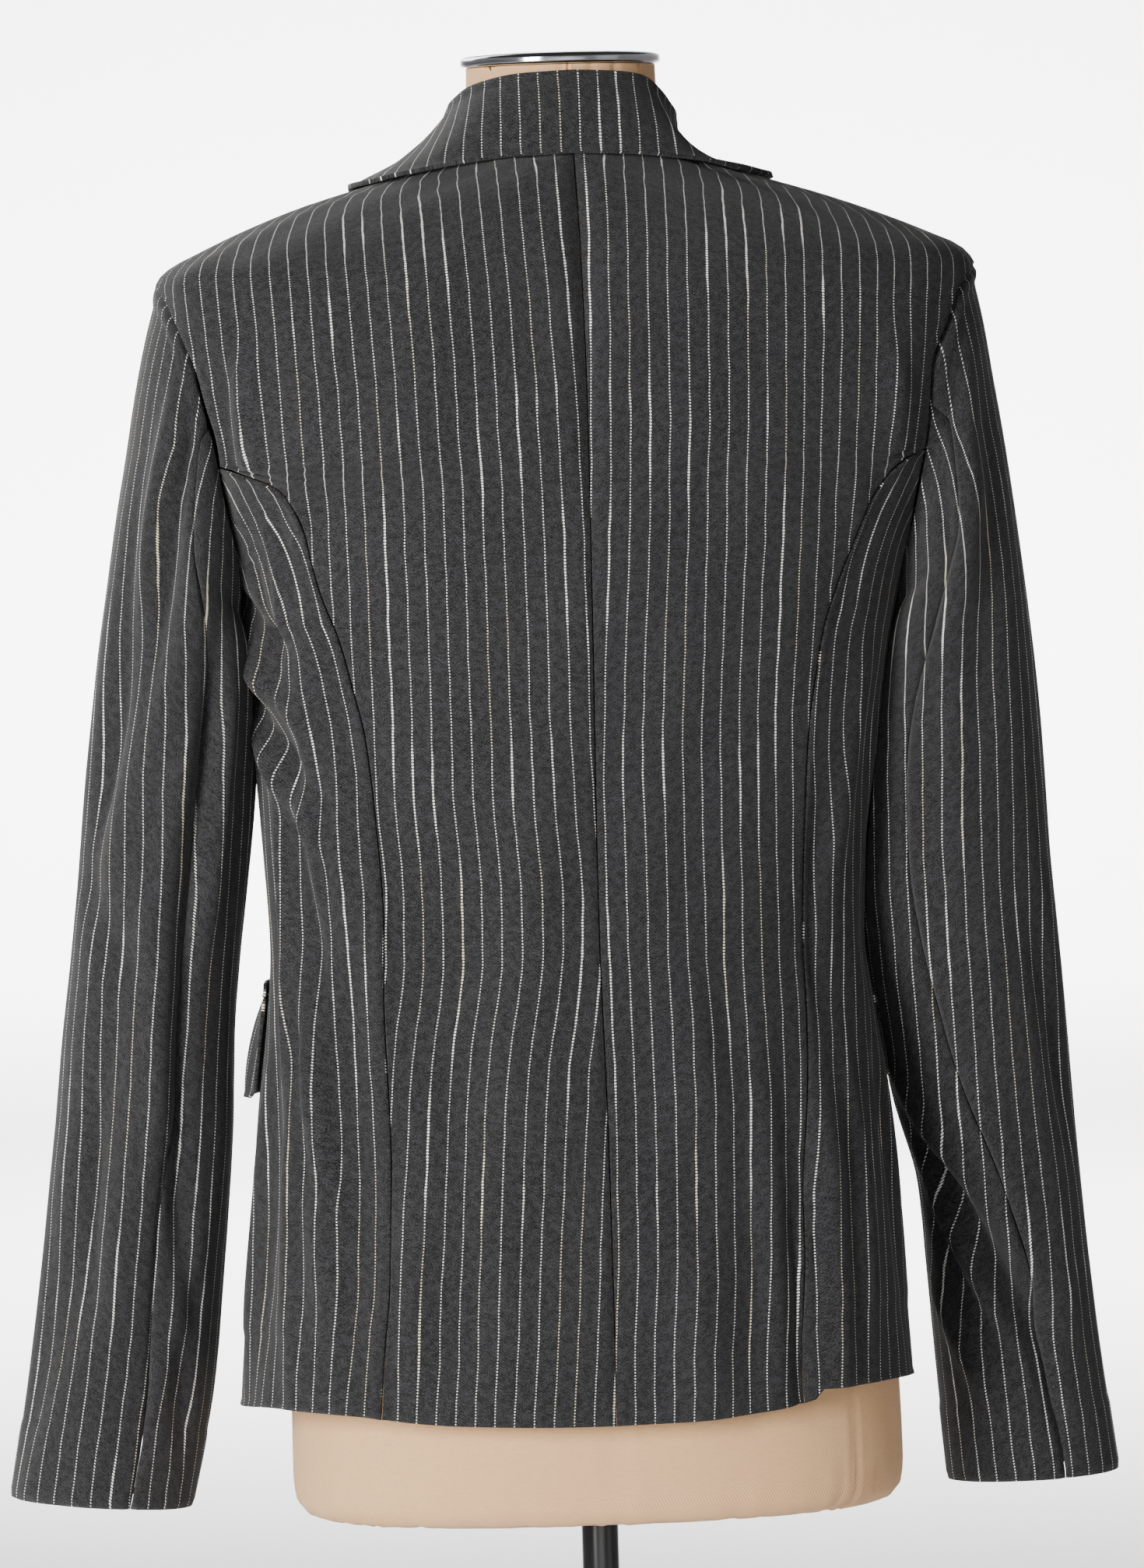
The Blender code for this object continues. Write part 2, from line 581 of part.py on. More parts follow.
def add_side(side, material):
    """A side panel. Its top edge follows the armhole from the back seam down to the armpit and up again."""
    back_levels = [level for level in LEVELS if level <= SEAM_TOP]
    even = [level for level in LEVELS if level <= SIDE_SPLIT]
    climbing = len(back_levels) - len(even)
    front_levels = even + [mix(SIDE_SPLIT, FRONT_SEAM_TOP, (i + 1) / climbing) for i in range(climbing)]
    knots = [row[0] for row in ARMHOLE if row[0] <= SEAM_TOP]
    top = [(height, armhole_angle(height, side, False)) for height in reversed(knots)]
    top += [(height, armhole_angle(height, side, True)) for height in knots[1:] if height <= FRONT_SEAM_TOP]
    low = hem_between(lambda height: back_edge(height, side), lambda height: side_edge(height, side))

    def place(s, t):
        row = round(t * (len(back_levels) - 1))
        top_height, top_angle = top[round(s * (len(top) - 1))]
        back, front = row_height(back_levels[row], low(0.0)), row_height(front_levels[row], low(1.0))
        back_share = (back - SIDE_SPLIT) / (SEAM_TOP - SIDE_SPLIT)
        front_share = (front - SIDE_SPLIT) / (FRONT_SEAM_TOP - SIDE_SPLIT)
        share = max(mix(back_share, front_share, s), 0.0)
        if share > 0:
            height = mix(SIDE_SPLIT, top_height, share) - 0.0012 * share
        else:
            height = row_height(back_levels[row], low(s))
        start, end = back_edge(back - 0.0008 * max(back_share, 0.0), side), side_edge(front, side)
        across = mix(s, (top_angle - top[0][1]) / (top[-1][1] - top[0][1]), share)
        return body_point(between(start, end, across, height), height)

    add_sheet("side_" + side_name(side), len(top) - 1, len(back_levels) - 1, place, material, flip=side < 0)


def front_lift(side):
    """The right front lies over the left one near the centre."""
    if side > 0:
        return None
    return lambda angle, height: LAP_LIFT * soft_step(abs(angle), 148, 168)


def add_front(side, material):
    def inner(height):
        return side_edge(height, side)

    def outer(height):
        return front_edge(height, side)

    def low(s):
        angle = mix(inner(HEM_BACK), outer(HEM_BACK), s)
        hem = table(HEM, angle if abs(angle) <= 180 else angle - math.copysign(360, angle))
        from_edge = (1 - s) * abs(outer(HEM_BACK) - inner(HEM_BACK)) * math.radians(FOLD_RADIUS)
        inside = max(FRONT_CORNER - from_edge, 0.0)
        return hem + FRONT_CORNER - math.sqrt(FRONT_CORNER**2 - inside**2 * 0.96)

    def high(s):
        return NECK_SIDE

    place = panel_place(inner, outer, LEVELS, low, high, out=front_lift(side))
    add_sheet("front_" + side_name(side), 10, len(LEVELS) - 1, place, material, flip=side < 0)


def add_lapel(side, material):
    """The turned-back part of a front, lying one layer over it, up to the line where it meets the collar."""
    start = LAPEL_START[0] if side > 0 else LAPEL_START[1]

    def place(s, t):
        rise = mix(start, LAPEL_END, t)
        height = mix(BREAK_POINT, NECK_SIDE, rise)
        near = front_edge_x(height)
        far = near + table(LAPEL_WIDTH, rise)
        if side > 0:
            near = max(near, 0.0022 - front_edge_x(height))
        height += GORGE_RISE * (1 - s) * soft_step(rise, 0.5, LAPEL_END)
        if side < 0:
            near = mix(near, front_edge_x(height), t)
        x = mix(near, max(far, near + 0.0015), s)
        if t > 0.5 and s < 1:
            x = mix(max(front_edge_x(height), near), far, s)
        angle = front_x_angle(x, height, side)
        lift = PLY + 0.0006 + 0.0020 * math.sin(math.pi * s) * soft_step(t, 0.0, 0.4)
        return body_point(angle, height, lift + (front_lift(side)(angle, height) if side < 0 else 0.0))

    add_sheet("lapel_" + side_name(side), 5, 11, place, material, flip=side > 0, thickness=0.0014)


# ---------------------------------------------------------------- sleeves


def body_reach(y, height, side):
    """How far out the body reaches at a depth and height, or 0 above the armpit."""
    if height > ARMPIT + 0.004:
        return 0.0
    deep = table(BODY_RINGS, height, 3 if y >= 0 else 4)
    half = table(BODY_RINGS, height, 1 if side > 0 else 2)
    power = table(BODY_RINGS, height, 5)
    return half * (1 - min(abs(y) / deep, 1.0) ** power) ** (1 / power)


def sleeve_point(knot, angle, share, side):
    """A place on a sleeve: from a place on the armhole's edge, along an angle, to the share of the way down.

    The angle runs from the sleeve's outer line towards the back. `knot` is the height on the armhole.
    """
    rows = SLEEVE_LEFT if side > 0 else SLEEVE_RIGHT
    step = share * len(rows)
    numbered = [(i + 1.0, *row) for i, row in enumerate(rows)]
    outer, outer_z, inner, inner_z, middle, half = (table(numbered, step, column) for column in range(1, 7))
    turn = math.radians(angle)
    height = mix(inner_z, outer_z, (1 + math.cos(turn)) / 2)
    folds = fold_height(
        FOLDS_LEFT if side > 0 else FOLDS_RIGHT, angle, height, math.radians(SLEEVE_FOLD_RADIUS), 1.0
    )
    x = mix(inner, outer, (1 + math.cos(turn)) / 2) + folds * math.cos(turn)
    y = middle + (half + folds) * math.sin(turn)
    x = max(x, body_reach(y, height, side) + SLEEVE_CLEAR)
    if step < 1:
        front = math.sin(turn) < -1e-6
        ax, ay, az = ring_point(BODY_RINGS, armhole_angle(knot, side, front), knot)
        x, y, height = mix(abs(ax) + ARMHOLE_GAP, x, step), mix(ay, y, step), mix(az, height, step)
    return (x * side, y, height)


def add_sleeve(side, material):
    """Upper and under sleeve. Their columns start on the armhole's own points and spread evenly below."""
    seam = SLEEVE_SEAM_LEFT if side > 0 else SLEEVE_SEAM_RIGHT
    rows = SLEEVE_LEFT if side > 0 else SLEEVE_RIGHT
    heights = [row[0] for row in ARMHOLE]
    middle, half = (SHOULDER_TIP + ARMPIT) / 2, (SHOULDER_TIP - ARMPIT) / 2

    def knot_angle(height, front):
        turn = math.degrees(math.acos(max(-1.0, min(1.0, (height - middle) / half))))
        return -turn if front else turn

    front = [(z, knot_angle(z, True)) for z in heights]
    back = [(z, knot_angle(z, False)) for z in reversed(heights)]
    upper = [k for k in front if k[0] >= FRONT_SEAM_KNOT] + [k for k in back[1:] if k[0] >= BACK_SEAM_KNOT]
    under = [k for k in back if k[0] <= BACK_SEAM_KNOT]
    under += [(z, turn + 360) for z, turn in front[1:] if z <= FRONT_SEAM_KNOT]

    def place_between(knots, first_is_front):
        def place(s, t):
            share = t * t * 0.25 + t * 0.75
            knot, start_angle = knots[round(s * (len(knots) - 1))]
            if s in (0.0, 1.0):
                knot += SEAM if first_is_front else -SEAM
            down = table([(i / len(rows), row[1]) for i, row in enumerate(rows)], share)
            back_seam = table(seam, down)
            gap = math.degrees(SEAM / SLEEVE_FOLD_RADIUS)
            if first_is_front:
                even = mix(SLEEVE_FRONT_SEAM + gap, back_seam - gap, s)
            else:
                even = mix(back_seam + gap, 360 + SLEEVE_FRONT_SEAM - gap, s)
            inset = gap * (1 if s == 0 else -1 if s == 1 else 0)
            angle = mix(start_angle + inset, even, soft_step(share, 0.0, 0.30))
            return sleeve_point(knot, angle, share, side)

        return place

    pieces = (("sleeve_upper_", upper, True), ("sleeve_under_", under, False))
    for name, knots, first_is_front in pieces:
        place = place_between(knots, first_is_front)
        add_sheet(name + side_name(side), len(knots) - 1, SLEEVE_ROWS, place, material, flip=side < 0)


# ---------------------------------------------------------------- collar, pockets, button


def collar_point(along, share, out=0.0):
    """A place on the collar's fall: -1 to 1 from one front end to the other, and from roll to edge."""
    values = [table(COLLAR, abs(along), column) for column in range(1, 8)]
    roll_angle, roll_reach, roll_z, edge_angle, edge_reach, edge_z, bow = values
    turn = math.radians(mix(roll_angle, edge_angle, share))
    bulge = (bow if along > 0 else min(bow, 0.0) * 1.8 + max(bow, 0.0)) * math.sin(math.pi * share)
    reach = mix(roll_reach, edge_reach, share) + bulge * 0.7 + out
    height = mix(roll_z, edge_z, share) + bulge * 0.7
    x, y = reach * math.sin(turn), reach * math.cos(turn)
    side = 1 if along >= 0 else -1
    clear = COLLAR_CLEAR + 0.0052 * soft_step(y, 0.01, -0.02)
    half = table(BODY_RINGS, height, 1 if side > 0 else 2) + clear
    deep = table(BODY_RINGS, height, 3 if y >= 0 else 4) + clear
    power = table(BODY_RINGS, height, 5)
    inside = ((x / half) ** power + (abs(y) / deep) ** power) ** (1 / power)
    grow = 1 / inside if inside < 1 and height < NECK_SIDE + 0.004 else 1.0
    return (side * x * grow, y * grow, height)


def add_collar(material):
    def fall(s, t):
        return collar_point(2 * s - 1, 1 - t)

    def stand(s, t):
        along = STAND_END * (2 * s - 1)
        roll_angle, near, high = (table(COLLAR, abs(along), column) for column in range(1, 4))
        turn = math.radians(math.copysign(roll_angle, along))
        reach = mix(STAND_FOOT_REACH, near - 0.0026, t)
        height = mix(STAND_FOOT, high - 0.0008, t)
        return (reach * math.sin(turn), reach * math.cos(turn), height)

    add_sheet("collar_fall", 30, 6, fall, material, flip=True)
    add_sheet("collar_stand", 24, 2, stand, material, flip=True)


def add_pocket(side, material):
    """A flap with its welt above, both a layer over the body."""
    start, end = POCKET_ANGLES[0 if side > 0 else 1]
    swing = FLAP_SWING[0 if side > 0 else 1]

    def flap(s, t):
        angle = side * mix(start, end, s)
        corner = 0.004 * (soft_step(s, 0.12, 0.0) + soft_step(s, 0.88, 1.0)) * soft_step(t, 0.5, 0.0)
        height = mix(POCKET_TOP - FLAP_HEIGHT + corner, POCKET_TOP - 0.0004, t)
        lift = PLY + 0.0003 + swing * (1 - t)
        return body_point(angle, height, lift)

    def welt(s, t):
        angle = side * mix(start - 0.5, end + 0.5, s)
        return body_point(angle, POCKET_TOP + 0.0004 + WELT_HEIGHT * t, PLY + 0.0005)

    add_sheet("pocket_flap_" + side_name(side), 7, 3, flap, material, flip=side < 0)
    add_sheet("pocket_welt_" + side_name(side), 7, 1, welt, material, flip=side < 0)


def add_button(material):
    radius, height = 0.0115, 0.0034
    profile = [
        (0.0, height * 0.70),
        (radius * 0.62, height * 0.72),
        (radius * 0.74, height),
        (radius * 0.90, height * 0.96),
        (radius, height * 0.55),
        (radius * 0.92, 0.0),
        (0.0, 0.0),
    ]
    made = add_turned("button_front", profile, material, steps=20)
    height = BREAK_POINT - 0.030
    made.location = ring_point(BODY_RINGS, 180, height, LAP_LIFT + 0.0027)
    lean = (table(BODY_RINGS, height + 0.01, 4) - table(BODY_RINGS, height - 0.01, 4)) / 0.02
    made.rotation_euler = (math.radians(90) + math.atan(lean), 0.0, 0.0)


# ---------------------------------------------------------------- dress form and stand


def add_form(material):
    heights = [row[0] for row in FORM_RINGS]

    def place(s, t):
        rise = t * (len(heights) - 1)
        at = min(int(rise + 1e-6), len(heights) - 2)
        height = mix(heights[at], heights[at + 1], rise - at)
        return ring_point(FORM_RINGS, s * 360 - 180, height)

    mesh = grid_mesh("form_body", 36, len(heights) - 1, place, closed=True)
    add_object("form_body", mesh, material)


def add_stand(chrome, black):
    cap_low = FORM_TOP + TOUCH
    cap = rounded_plate(CAP_RADIUS, cap_low, cap_low + CAP_THICKNESS, CAP_THICKNESS * 0.48)
    cap[0] = (0.0, cap_low + CAP_THICKNESS + 0.0015)
    add_turned("neck_cap", cap, chrome, steps=28)

    base = rounded_plate(BASE_RADIUS, 0.0, BASE_THICKNESS, 0.005)
    hub = [(0.0, BASE_HUB_HEIGHT), (BASE_HUB_RADIUS - 0.003, BASE_HUB_HEIGHT)]
    hub += [(BASE_HUB_RADIUS, BASE_HUB_HEIGHT - 0.003), (BASE_HUB_RADIUS, BASE_THICKNESS + 0.001)]
    add_turned("base", hub + base[1:], black, steps=36)

    bpy.ops.mesh.primitive_cylinder_add(
        vertices=20,
        radius=POLE_RADIUS,
        depth=FORM_BOTTOM - BASE_HUB_HEIGHT - 2 * TOUCH,
        location=(0, 0, (FORM_BOTTOM + BASE_HUB_HEIGHT) / 2),
    )
    pole = bpy.context.object
    pole.name = "pole"
    pole.data.materials.append(black)
    for group in list(pole.users_collection):
        group.objects.unlink(pole)
    bpy.data.collections["blazer_on_dress_form"].objects.link(pole)


def side_name(side):
    return "left" if side > 0 else "right"


def main():
    clear_scene()
    group = bpy.data.collections.new("blazer_on_dress_form")
    bpy.context.scene.collection.children.link(group)
    cloth = make_material("charcoal_twill", CHARCOAL, 0.85)
    canvas = make_material("form_canvas", CANVAS, 0.9)
    chrome = make_material("neck_cap_chrome", (0.80, 0.80, 0.82), 0.12, 1.0)
    black = make_material("stand_black", (0.012, 0.012, 0.013), 0.25)
    button = make_material("button_black", (0.015, 0.015, 0.016), 0.35)
    for side in (1, -1):
        add_back(side, cloth)
        add_side(side, cloth)
        add_front(side, cloth)
        add_lapel(side, cloth)
        add_sleeve(side, cloth)
        add_pocket(side, cloth)
    add_collar(cloth)
    add_button(button)
    add_form(canvas)
    add_stand(chrome, black)


main()
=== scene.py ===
"""A pin-striped blazer on a limbless dress form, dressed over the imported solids.

Metres, +Z up, the garment's front towards -Y and the wearer's left towards +X. Every cloth piece is a thin
sheet on the same rings, seams and sleeve sections as its solid, with finer creases and the sewing added. The
cloth's own flat measures are kept in a UV map named "cut", across the grain and along it in metres, and the
stripes and the twill are drawn from it.
"""

import math

import bmesh
import bpy
import numpy as np
from bpy.props import FloatProperty, FloatVectorProperty, PointerProperty
from mathutils import Matrix, Vector


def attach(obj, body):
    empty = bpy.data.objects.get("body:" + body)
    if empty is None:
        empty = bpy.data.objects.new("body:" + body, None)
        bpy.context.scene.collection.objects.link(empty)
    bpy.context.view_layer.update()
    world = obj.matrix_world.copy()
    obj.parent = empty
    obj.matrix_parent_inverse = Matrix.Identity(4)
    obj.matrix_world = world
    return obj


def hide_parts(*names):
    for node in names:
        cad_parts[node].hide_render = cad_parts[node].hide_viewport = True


bl_info = {
    "name": "Pin-striped blazer on a dress form",
    "version": (1, 0, 0),
    "blender": (4, 5, 0),
    "location": "View3D > Sidebar > Blazer",
    "description": "Builds a worn pin-striped blazer, its dress form and its stand",
    "category": "Object",
}

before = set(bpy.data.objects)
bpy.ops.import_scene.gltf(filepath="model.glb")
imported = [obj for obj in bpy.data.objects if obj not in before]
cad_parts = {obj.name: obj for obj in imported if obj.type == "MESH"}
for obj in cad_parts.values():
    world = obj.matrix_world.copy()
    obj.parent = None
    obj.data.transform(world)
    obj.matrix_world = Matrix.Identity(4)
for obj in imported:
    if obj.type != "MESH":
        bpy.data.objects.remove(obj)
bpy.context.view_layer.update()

# ---------------------------------------------------------------- the garment's measures

PLY = 0.0022  # what a piece that lies on another is raised by
HEM_BACK = 0.808  # the lowest level, the hem at the centre back
ARMPIT = 1.238  # the armhole's lowest place
SHOULDER_TIP = 1.3915  # the armhole's highest place
SEAM_TOP = 1.296  # where the curved back seam meets the armhole
FRONT_SEAM_TOP = 1.258  # where the side panel's front seam meets it
HEM_EVEN = 0.950  # above it the body's rows run level
NECK_BACK = 1.4500  # neck seam at the centre back
NECK_SIDE = 1.4465  # neck seam beside the neck
BREAK_POINT = 1.125  # where the lapels start to turn
FRONT_LAP = 0.019  # how far each front passes the middle
FRONT_CORNER = 0.075  # radius of the fronts' lower corners
LAP_LIFT = 0.0030  # how far the right front lies over the left
ARMHOLE_GAP = 0.0016  # between body and sleeve head
SLEEVE_CLEAR = 0.0022  # between sleeve and body
SEAM = 0.0002  # the gap left along a seam
NECK_BEND = 1.4325  # above it the body's rows bend to the neck seam
LAPEL_PLY = 0.0014  # thickness of a lapel
FLAP_PLY = 0.0016  # thickness of a pocket's flap and welt
COLLAR_PLY = 0.0022  # thickness of the collar's fall

# The sewing, as width and depth of a dip along an edge.
SEAM_DIP = (0.0011, 0.0010)
SIDE_SEAM_DIP = (0.0011, 0.0012)
SLEEVE_SEAM_DIP = (0.0011, 0.0011)
TOP_DIP = (0.0016, 0.0008)
EDGE_DIP = (0.0012, 0.0007)
FLAP_DIP = (0.0014, 0.0007)
TURN_UP = 0.0006  # how much thicker the turned-up hems and cuffs are

# Rings of the garment's body: height, left, right, back, front, squareness.
BODY_RINGS = (
    (0.78, 0.184, 0.1645, 0.112, 0.118, 2.35),
    (0.822, 0.181, 0.1625, 0.113, 0.119, 2.35),
    (0.86, 0.178, 0.1605, 0.114, 0.12, 2.35),
    (0.909, 0.1735, 0.1585, 0.112, 0.12, 2.3),
    (0.967, 0.168, 0.153, 0.104, 0.116, 2.3),
    (1.01, 0.163, 0.147, 0.094, 0.111, 2.25),
    (1.047, 0.1605, 0.1425, 0.087, 0.107, 2.2),
    (1.09, 0.162, 0.145, 0.086, 0.108, 2.2),
    (1.14, 0.1645, 0.1515, 0.09, 0.115, 2.2),
    (1.19, 0.169, 0.159, 0.096, 0.124, 2.25),
    (1.238, 0.174, 0.168, 0.1, 0.127, 2.3),
    (1.29, 0.19, 0.187, 0.103, 0.119, 2.4),
    (1.335, 0.203, 0.201, 0.101, 0.103, 2.5),
    (1.366, 0.2085, 0.207, 0.096, 0.089, 2.5),
    (1.3855, 0.2095, 0.209, 0.091, 0.079, 2.55),
    (1.3915, 0.207, 0.207, 0.089, 0.076, 2.6),
    (1.397, 0.2, 0.201, 0.0875, 0.0735, 2.6),
    (1.402, 0.19, 0.19, 0.086, 0.071, 2.6),
    (1.4125, 0.167, 0.165, 0.082, 0.066, 2.65),
    (1.4255, 0.133, 0.129, 0.076, 0.06, 2.75),
    (1.434, 0.103, 0.101, 0.071, 0.057, 2.9),
    (1.4425, 0.074, 0.074, 0.0665, 0.0545, 2.9),
    (1.45, 0.056, 0.056, 0.062, 0.052, 2.6),
)

# The curved back seams: height, distance from the centre back on the left and on the right.
BACK_SEAM = (
    (0.78, 0.119, 0.0985),
    (0.845, 0.115, 0.1),
    (0.88, 0.111, 0.101),
    (0.957, 0.108, 0.103),
    (1.005, 0.108, 0.105),
    (1.06, 0.107, 0.1065),
    (1.119, 0.11, 0.1085),
    (1.158, 0.114, 0.111),
    (1.182, 0.1195, 0.1145),
    (1.206, 0.1255, 0.119),
    (1.23, 0.134, 0.1275),
    (1.25, 0.139, 0.136),
    (1.268, 0.143, 0.143),
    (1.28, 0.15, 0.152),
    (1.287, 0.159, 0.158),
    (1.296, 0.1815, 0.1745),
)

# The armhole's edge: height, angle from the centre back on the left and on the right.
ARMHOLE = (
    (1.238, 90.0, 90.0),
    (1.244, 81.5, 81.0),
    (1.258, 76.5, 74.5),
    (1.277, 72.8, 69.3),
    (1.296, 69.1, 65.7),
    (1.318, 66.9, 62.3),
    (1.34, 66.9, 60.1),
    (1.36, 69.6, 63.9),
    (1.377, 76.3, 67.7),
    (1.3915, 90.0, 90.0),
)
# Heights of the body's rows, set where the seams and the armhole turn.
LEVELS = (
    0.808, 0.838, 0.87, 0.902, 0.934, 0.967, 1.0, 1.031, 1.062, 1.094, 1.128, 1.162, 1.194, 1.218,
    1.238, 1.258, 1.277, 1.287, 1.2915, 1.296, 1.318, 1.34, 1.36, 1.377, 1.385, 1.3915, 1.402, 1.4125, 1.4225,
    1.4325, 1.4465,
)
SIDE_SPLIT = 1.194
# The seams between sides and fronts: height, angle on the left and on the right.
SIDE_SEAM = (
    (0.78, 116.0, 116.0),
    (0.9, 116.0, 116.0),
    (1.047, 113.0, 113.0),
    (1.15, 113.0, 113.0),
    (1.2, 110.5, 110.7),
    (1.238, 106.0, 107.0),
    (1.258, 103.5, 105.5),
)
# The hem's edge: angle, height.
HEM = (
    (-180.0, 0.806),
    (-128.0, 0.812),
    (-90.0, 0.8178),
    (-60.0, 0.8208),
    (-42.0, 0.8206),
    (-37.2, 0.8202),
    (-35.8, 0.8146),
    (-33.0, 0.8136),
    (-26.0, 0.8115),
    (-12.0, 0.8088),
    (0.0, 0.808),
    (20.0, 0.8095),
    (45.0, 0.815),
    (66.0, 0.8165),
    (90.0, 0.813),
    (128.0, 0.808),
    (180.0, 0.806),
)

# Folds of the body: angle and height of both ends, half width across the line, depth.
BODY_FOLDS = (
    (62.0, 1.02, 50.0, 0.88, 0.013, -0.007),
    (48.0, 1.03, 40.0, 0.85, 0.016, 0.004),
    (75.0, 1.0, 72.0, 0.85, 0.015, 0.004),
    (55.0, 1.2, 58.0, 1.08, 0.01, -0.005),
    (66.0, 1.21, 68.0, 1.09, 0.012, 0.003),
    (9.0, 1.13, 7.0, 0.94, 0.02, -0.005),
    (-9.0, 1.12, -12.0, 0.96, 0.02, -0.004),
    (-36.0, 0.95, -34.0, 0.815, 0.013, 0.005),
    (-44.0, 0.96, -42.0, 0.815, 0.01, -0.006),
    (-22.0, 0.94, -24.0, 0.815, 0.016, 0.004),
    (-13.0, 0.9, -12.0, 0.815, 0.012, -0.003),
    (-62.0, 1.19, -58.0, 1.09, 0.011, -0.004),
    (-30.0, 1.33, -46.0, 1.27, 0.014, 0.002),
    (30.0, 1.33, 47.0, 1.265, 0.014, 0.002),
    (128.0, 1.2, 138.0, 1.09, 0.016, -0.004),
    (-128.0, 1.2, -140.0, 1.09, 0.016, -0.004),
    (104.0, 1.18, 110.0, 1.07, 0.013, -0.004),
    (-104.0, 1.18, -111.0, 1.075, 0.013, -0.004),
    (150.0, 1.06, 140.0, 0.96, 0.018, -0.003),
    (-150.0, 1.06, -142.0, 0.96, 0.018, -0.003),
)
# Finer creases over the folds, with the same columns.
BODY_CREASES = (
    (50.0, 1.35, 58.0, 1.296, 0.008, -0.0034),
    (57.0, 1.345, 64.0, 1.3, 0.007, 0.0018),
    (88.0, 1.232, 60.0, 1.2, 0.0085, 0.0034),
    (92.0, 1.212, 58.0, 1.166, 0.008, -0.0044),
    (90.0, 1.186, 56.0, 1.132, 0.0085, 0.003),
    (84.0, 1.16, 54.0, 1.104, 0.008, -0.003),
    (64.0, 1.13, 58.0, 1.03, 0.007, 0.0024),
    (72.0, 1.12, 70.0, 0.99, 0.008, -0.003),
    (66.0, 1.01, 56.0, 0.93, 0.006, 0.0026),
    (40.0, 1.3, 52.0, 1.262, 0.008, -0.0016),
    (-46.0, 1.35, -56.0, 1.29, 0.007, -0.0018),
    (-36.0, 1.31, -50.0, 1.262, 0.008, -0.0012),
    (58.0, 1.272, 62.0, 1.2, 0.006, -0.0022),
    (70.0, 1.262, 66.0, 1.17, 0.006, 0.0016),
    (50.0, 1.165, 49.0, 1.06, 0.007, -0.002),
    (45.0, 1.11, 41.0, 1.0, 0.008, -0.0014),
    (57.0, 0.985, 47.0, 0.905, 0.0055, -0.0024),
    (52.0, 0.96, 42.0, 0.83, 0.0075, 0.0016),
    (66.0, 0.96, 60.0, 0.83, 0.009, -0.0022),
    (82.0, 0.98, 84.0, 0.84, 0.009, -0.0018),
    (24.0, 1.0, 22.0, 0.85, 0.012, 0.0016),
    (33.0, 0.93, 30.0, 0.825, 0.009, -0.0014),
    (14.0, 1.01, 15.0, 0.88, 0.01, -0.0012),
    (-17.0, 1.02, -18.0, 0.9, 0.011, -0.0014),
    (-29.0, 0.99, -28.0, 0.85, 0.009, -0.0016),
    (-39.0, 0.93, -38.0, 0.83, 0.005, 0.0022),
    (-36.8, 0.9, -36.4, 0.812, 0.004, -0.0016),
    (-33.5, 0.91, -33.0, 0.812, 0.007, 0.0018),
    (-55.0, 0.98, -54.0, 0.84, 0.009, -0.0018),
    (-70.0, 0.99, -72.0, 0.86, 0.01, 0.0016),
    (-50.0, 1.11, -48.0, 1.02, 0.009, 0.0014),
    (118.0, 1.05, 126.0, 0.96, 0.01, -0.0018),
    (-118.0, 1.06, -127.0, 0.97, 0.01, -0.002),
    (122.0, 1.3, 138.0, 1.24, 0.009, -0.0018),
    (-122.0, 1.295, -137.0, 1.236, 0.009, -0.0016),
    (136.0, 0.93, 134.0, 0.83, 0.011, 0.0018),
    (-139.0, 0.94, -136.0, 0.835, 0.012, 0.0016),
)
FOLD_RADIUS = 0.150
CREASE_STRENGTH = 1.9
BODY_RIPPLE = 0.0012
SLEEVE_RIPPLE = 0.0009

# Sections of the sleeves: outermost and innermost place seen from behind, middle depth, half depth.
SLEEVE_LEFT = (
    (0.2115, 1.38, 0.1705, 1.2345, -0.001, 0.0545),
    (0.217, 1.36, 0.17, 1.23, -0.002, 0.0575),
    (0.2225, 1.335, 0.17, 1.2245, -0.003, 0.06),
    (0.2285, 1.302, 0.171, 1.217, -0.004, 0.061),
    (0.235, 1.268, 0.167, 1.208, -0.006, 0.0605),
    (0.2405, 1.235, 0.163, 1.196, -0.008, 0.059),
    (0.2455, 1.202, 0.162, 1.178, -0.01, 0.057),
    (0.25, 1.165, 0.164, 1.152, -0.0125, 0.054),
    (0.255, 1.125, 0.167, 1.117, -0.016, 0.051),
    (0.259, 1.085, 0.1715, 1.079, -0.019, 0.0485),
    (0.2635, 1.045, 0.1765, 1.039, -0.023, 0.047),
    (0.2685, 1.005, 0.18, 0.999, -0.028, 0.0455),
    (0.273, 0.962, 0.1815, 0.956, -0.034, 0.044),
    (0.2785, 0.918, 0.185, 0.912, -0.039, 0.0425),
    (0.284, 0.874, 0.1895, 0.868, -0.045, 0.041),
    (0.2905, 0.828, 0.1945, 0.821, -0.05, 0.04),
    (0.296, 0.795, 0.201, 0.786, -0.053, 0.0395),
    (0.3015, 0.764, 0.2075, 0.756, -0.056, 0.0385),
)
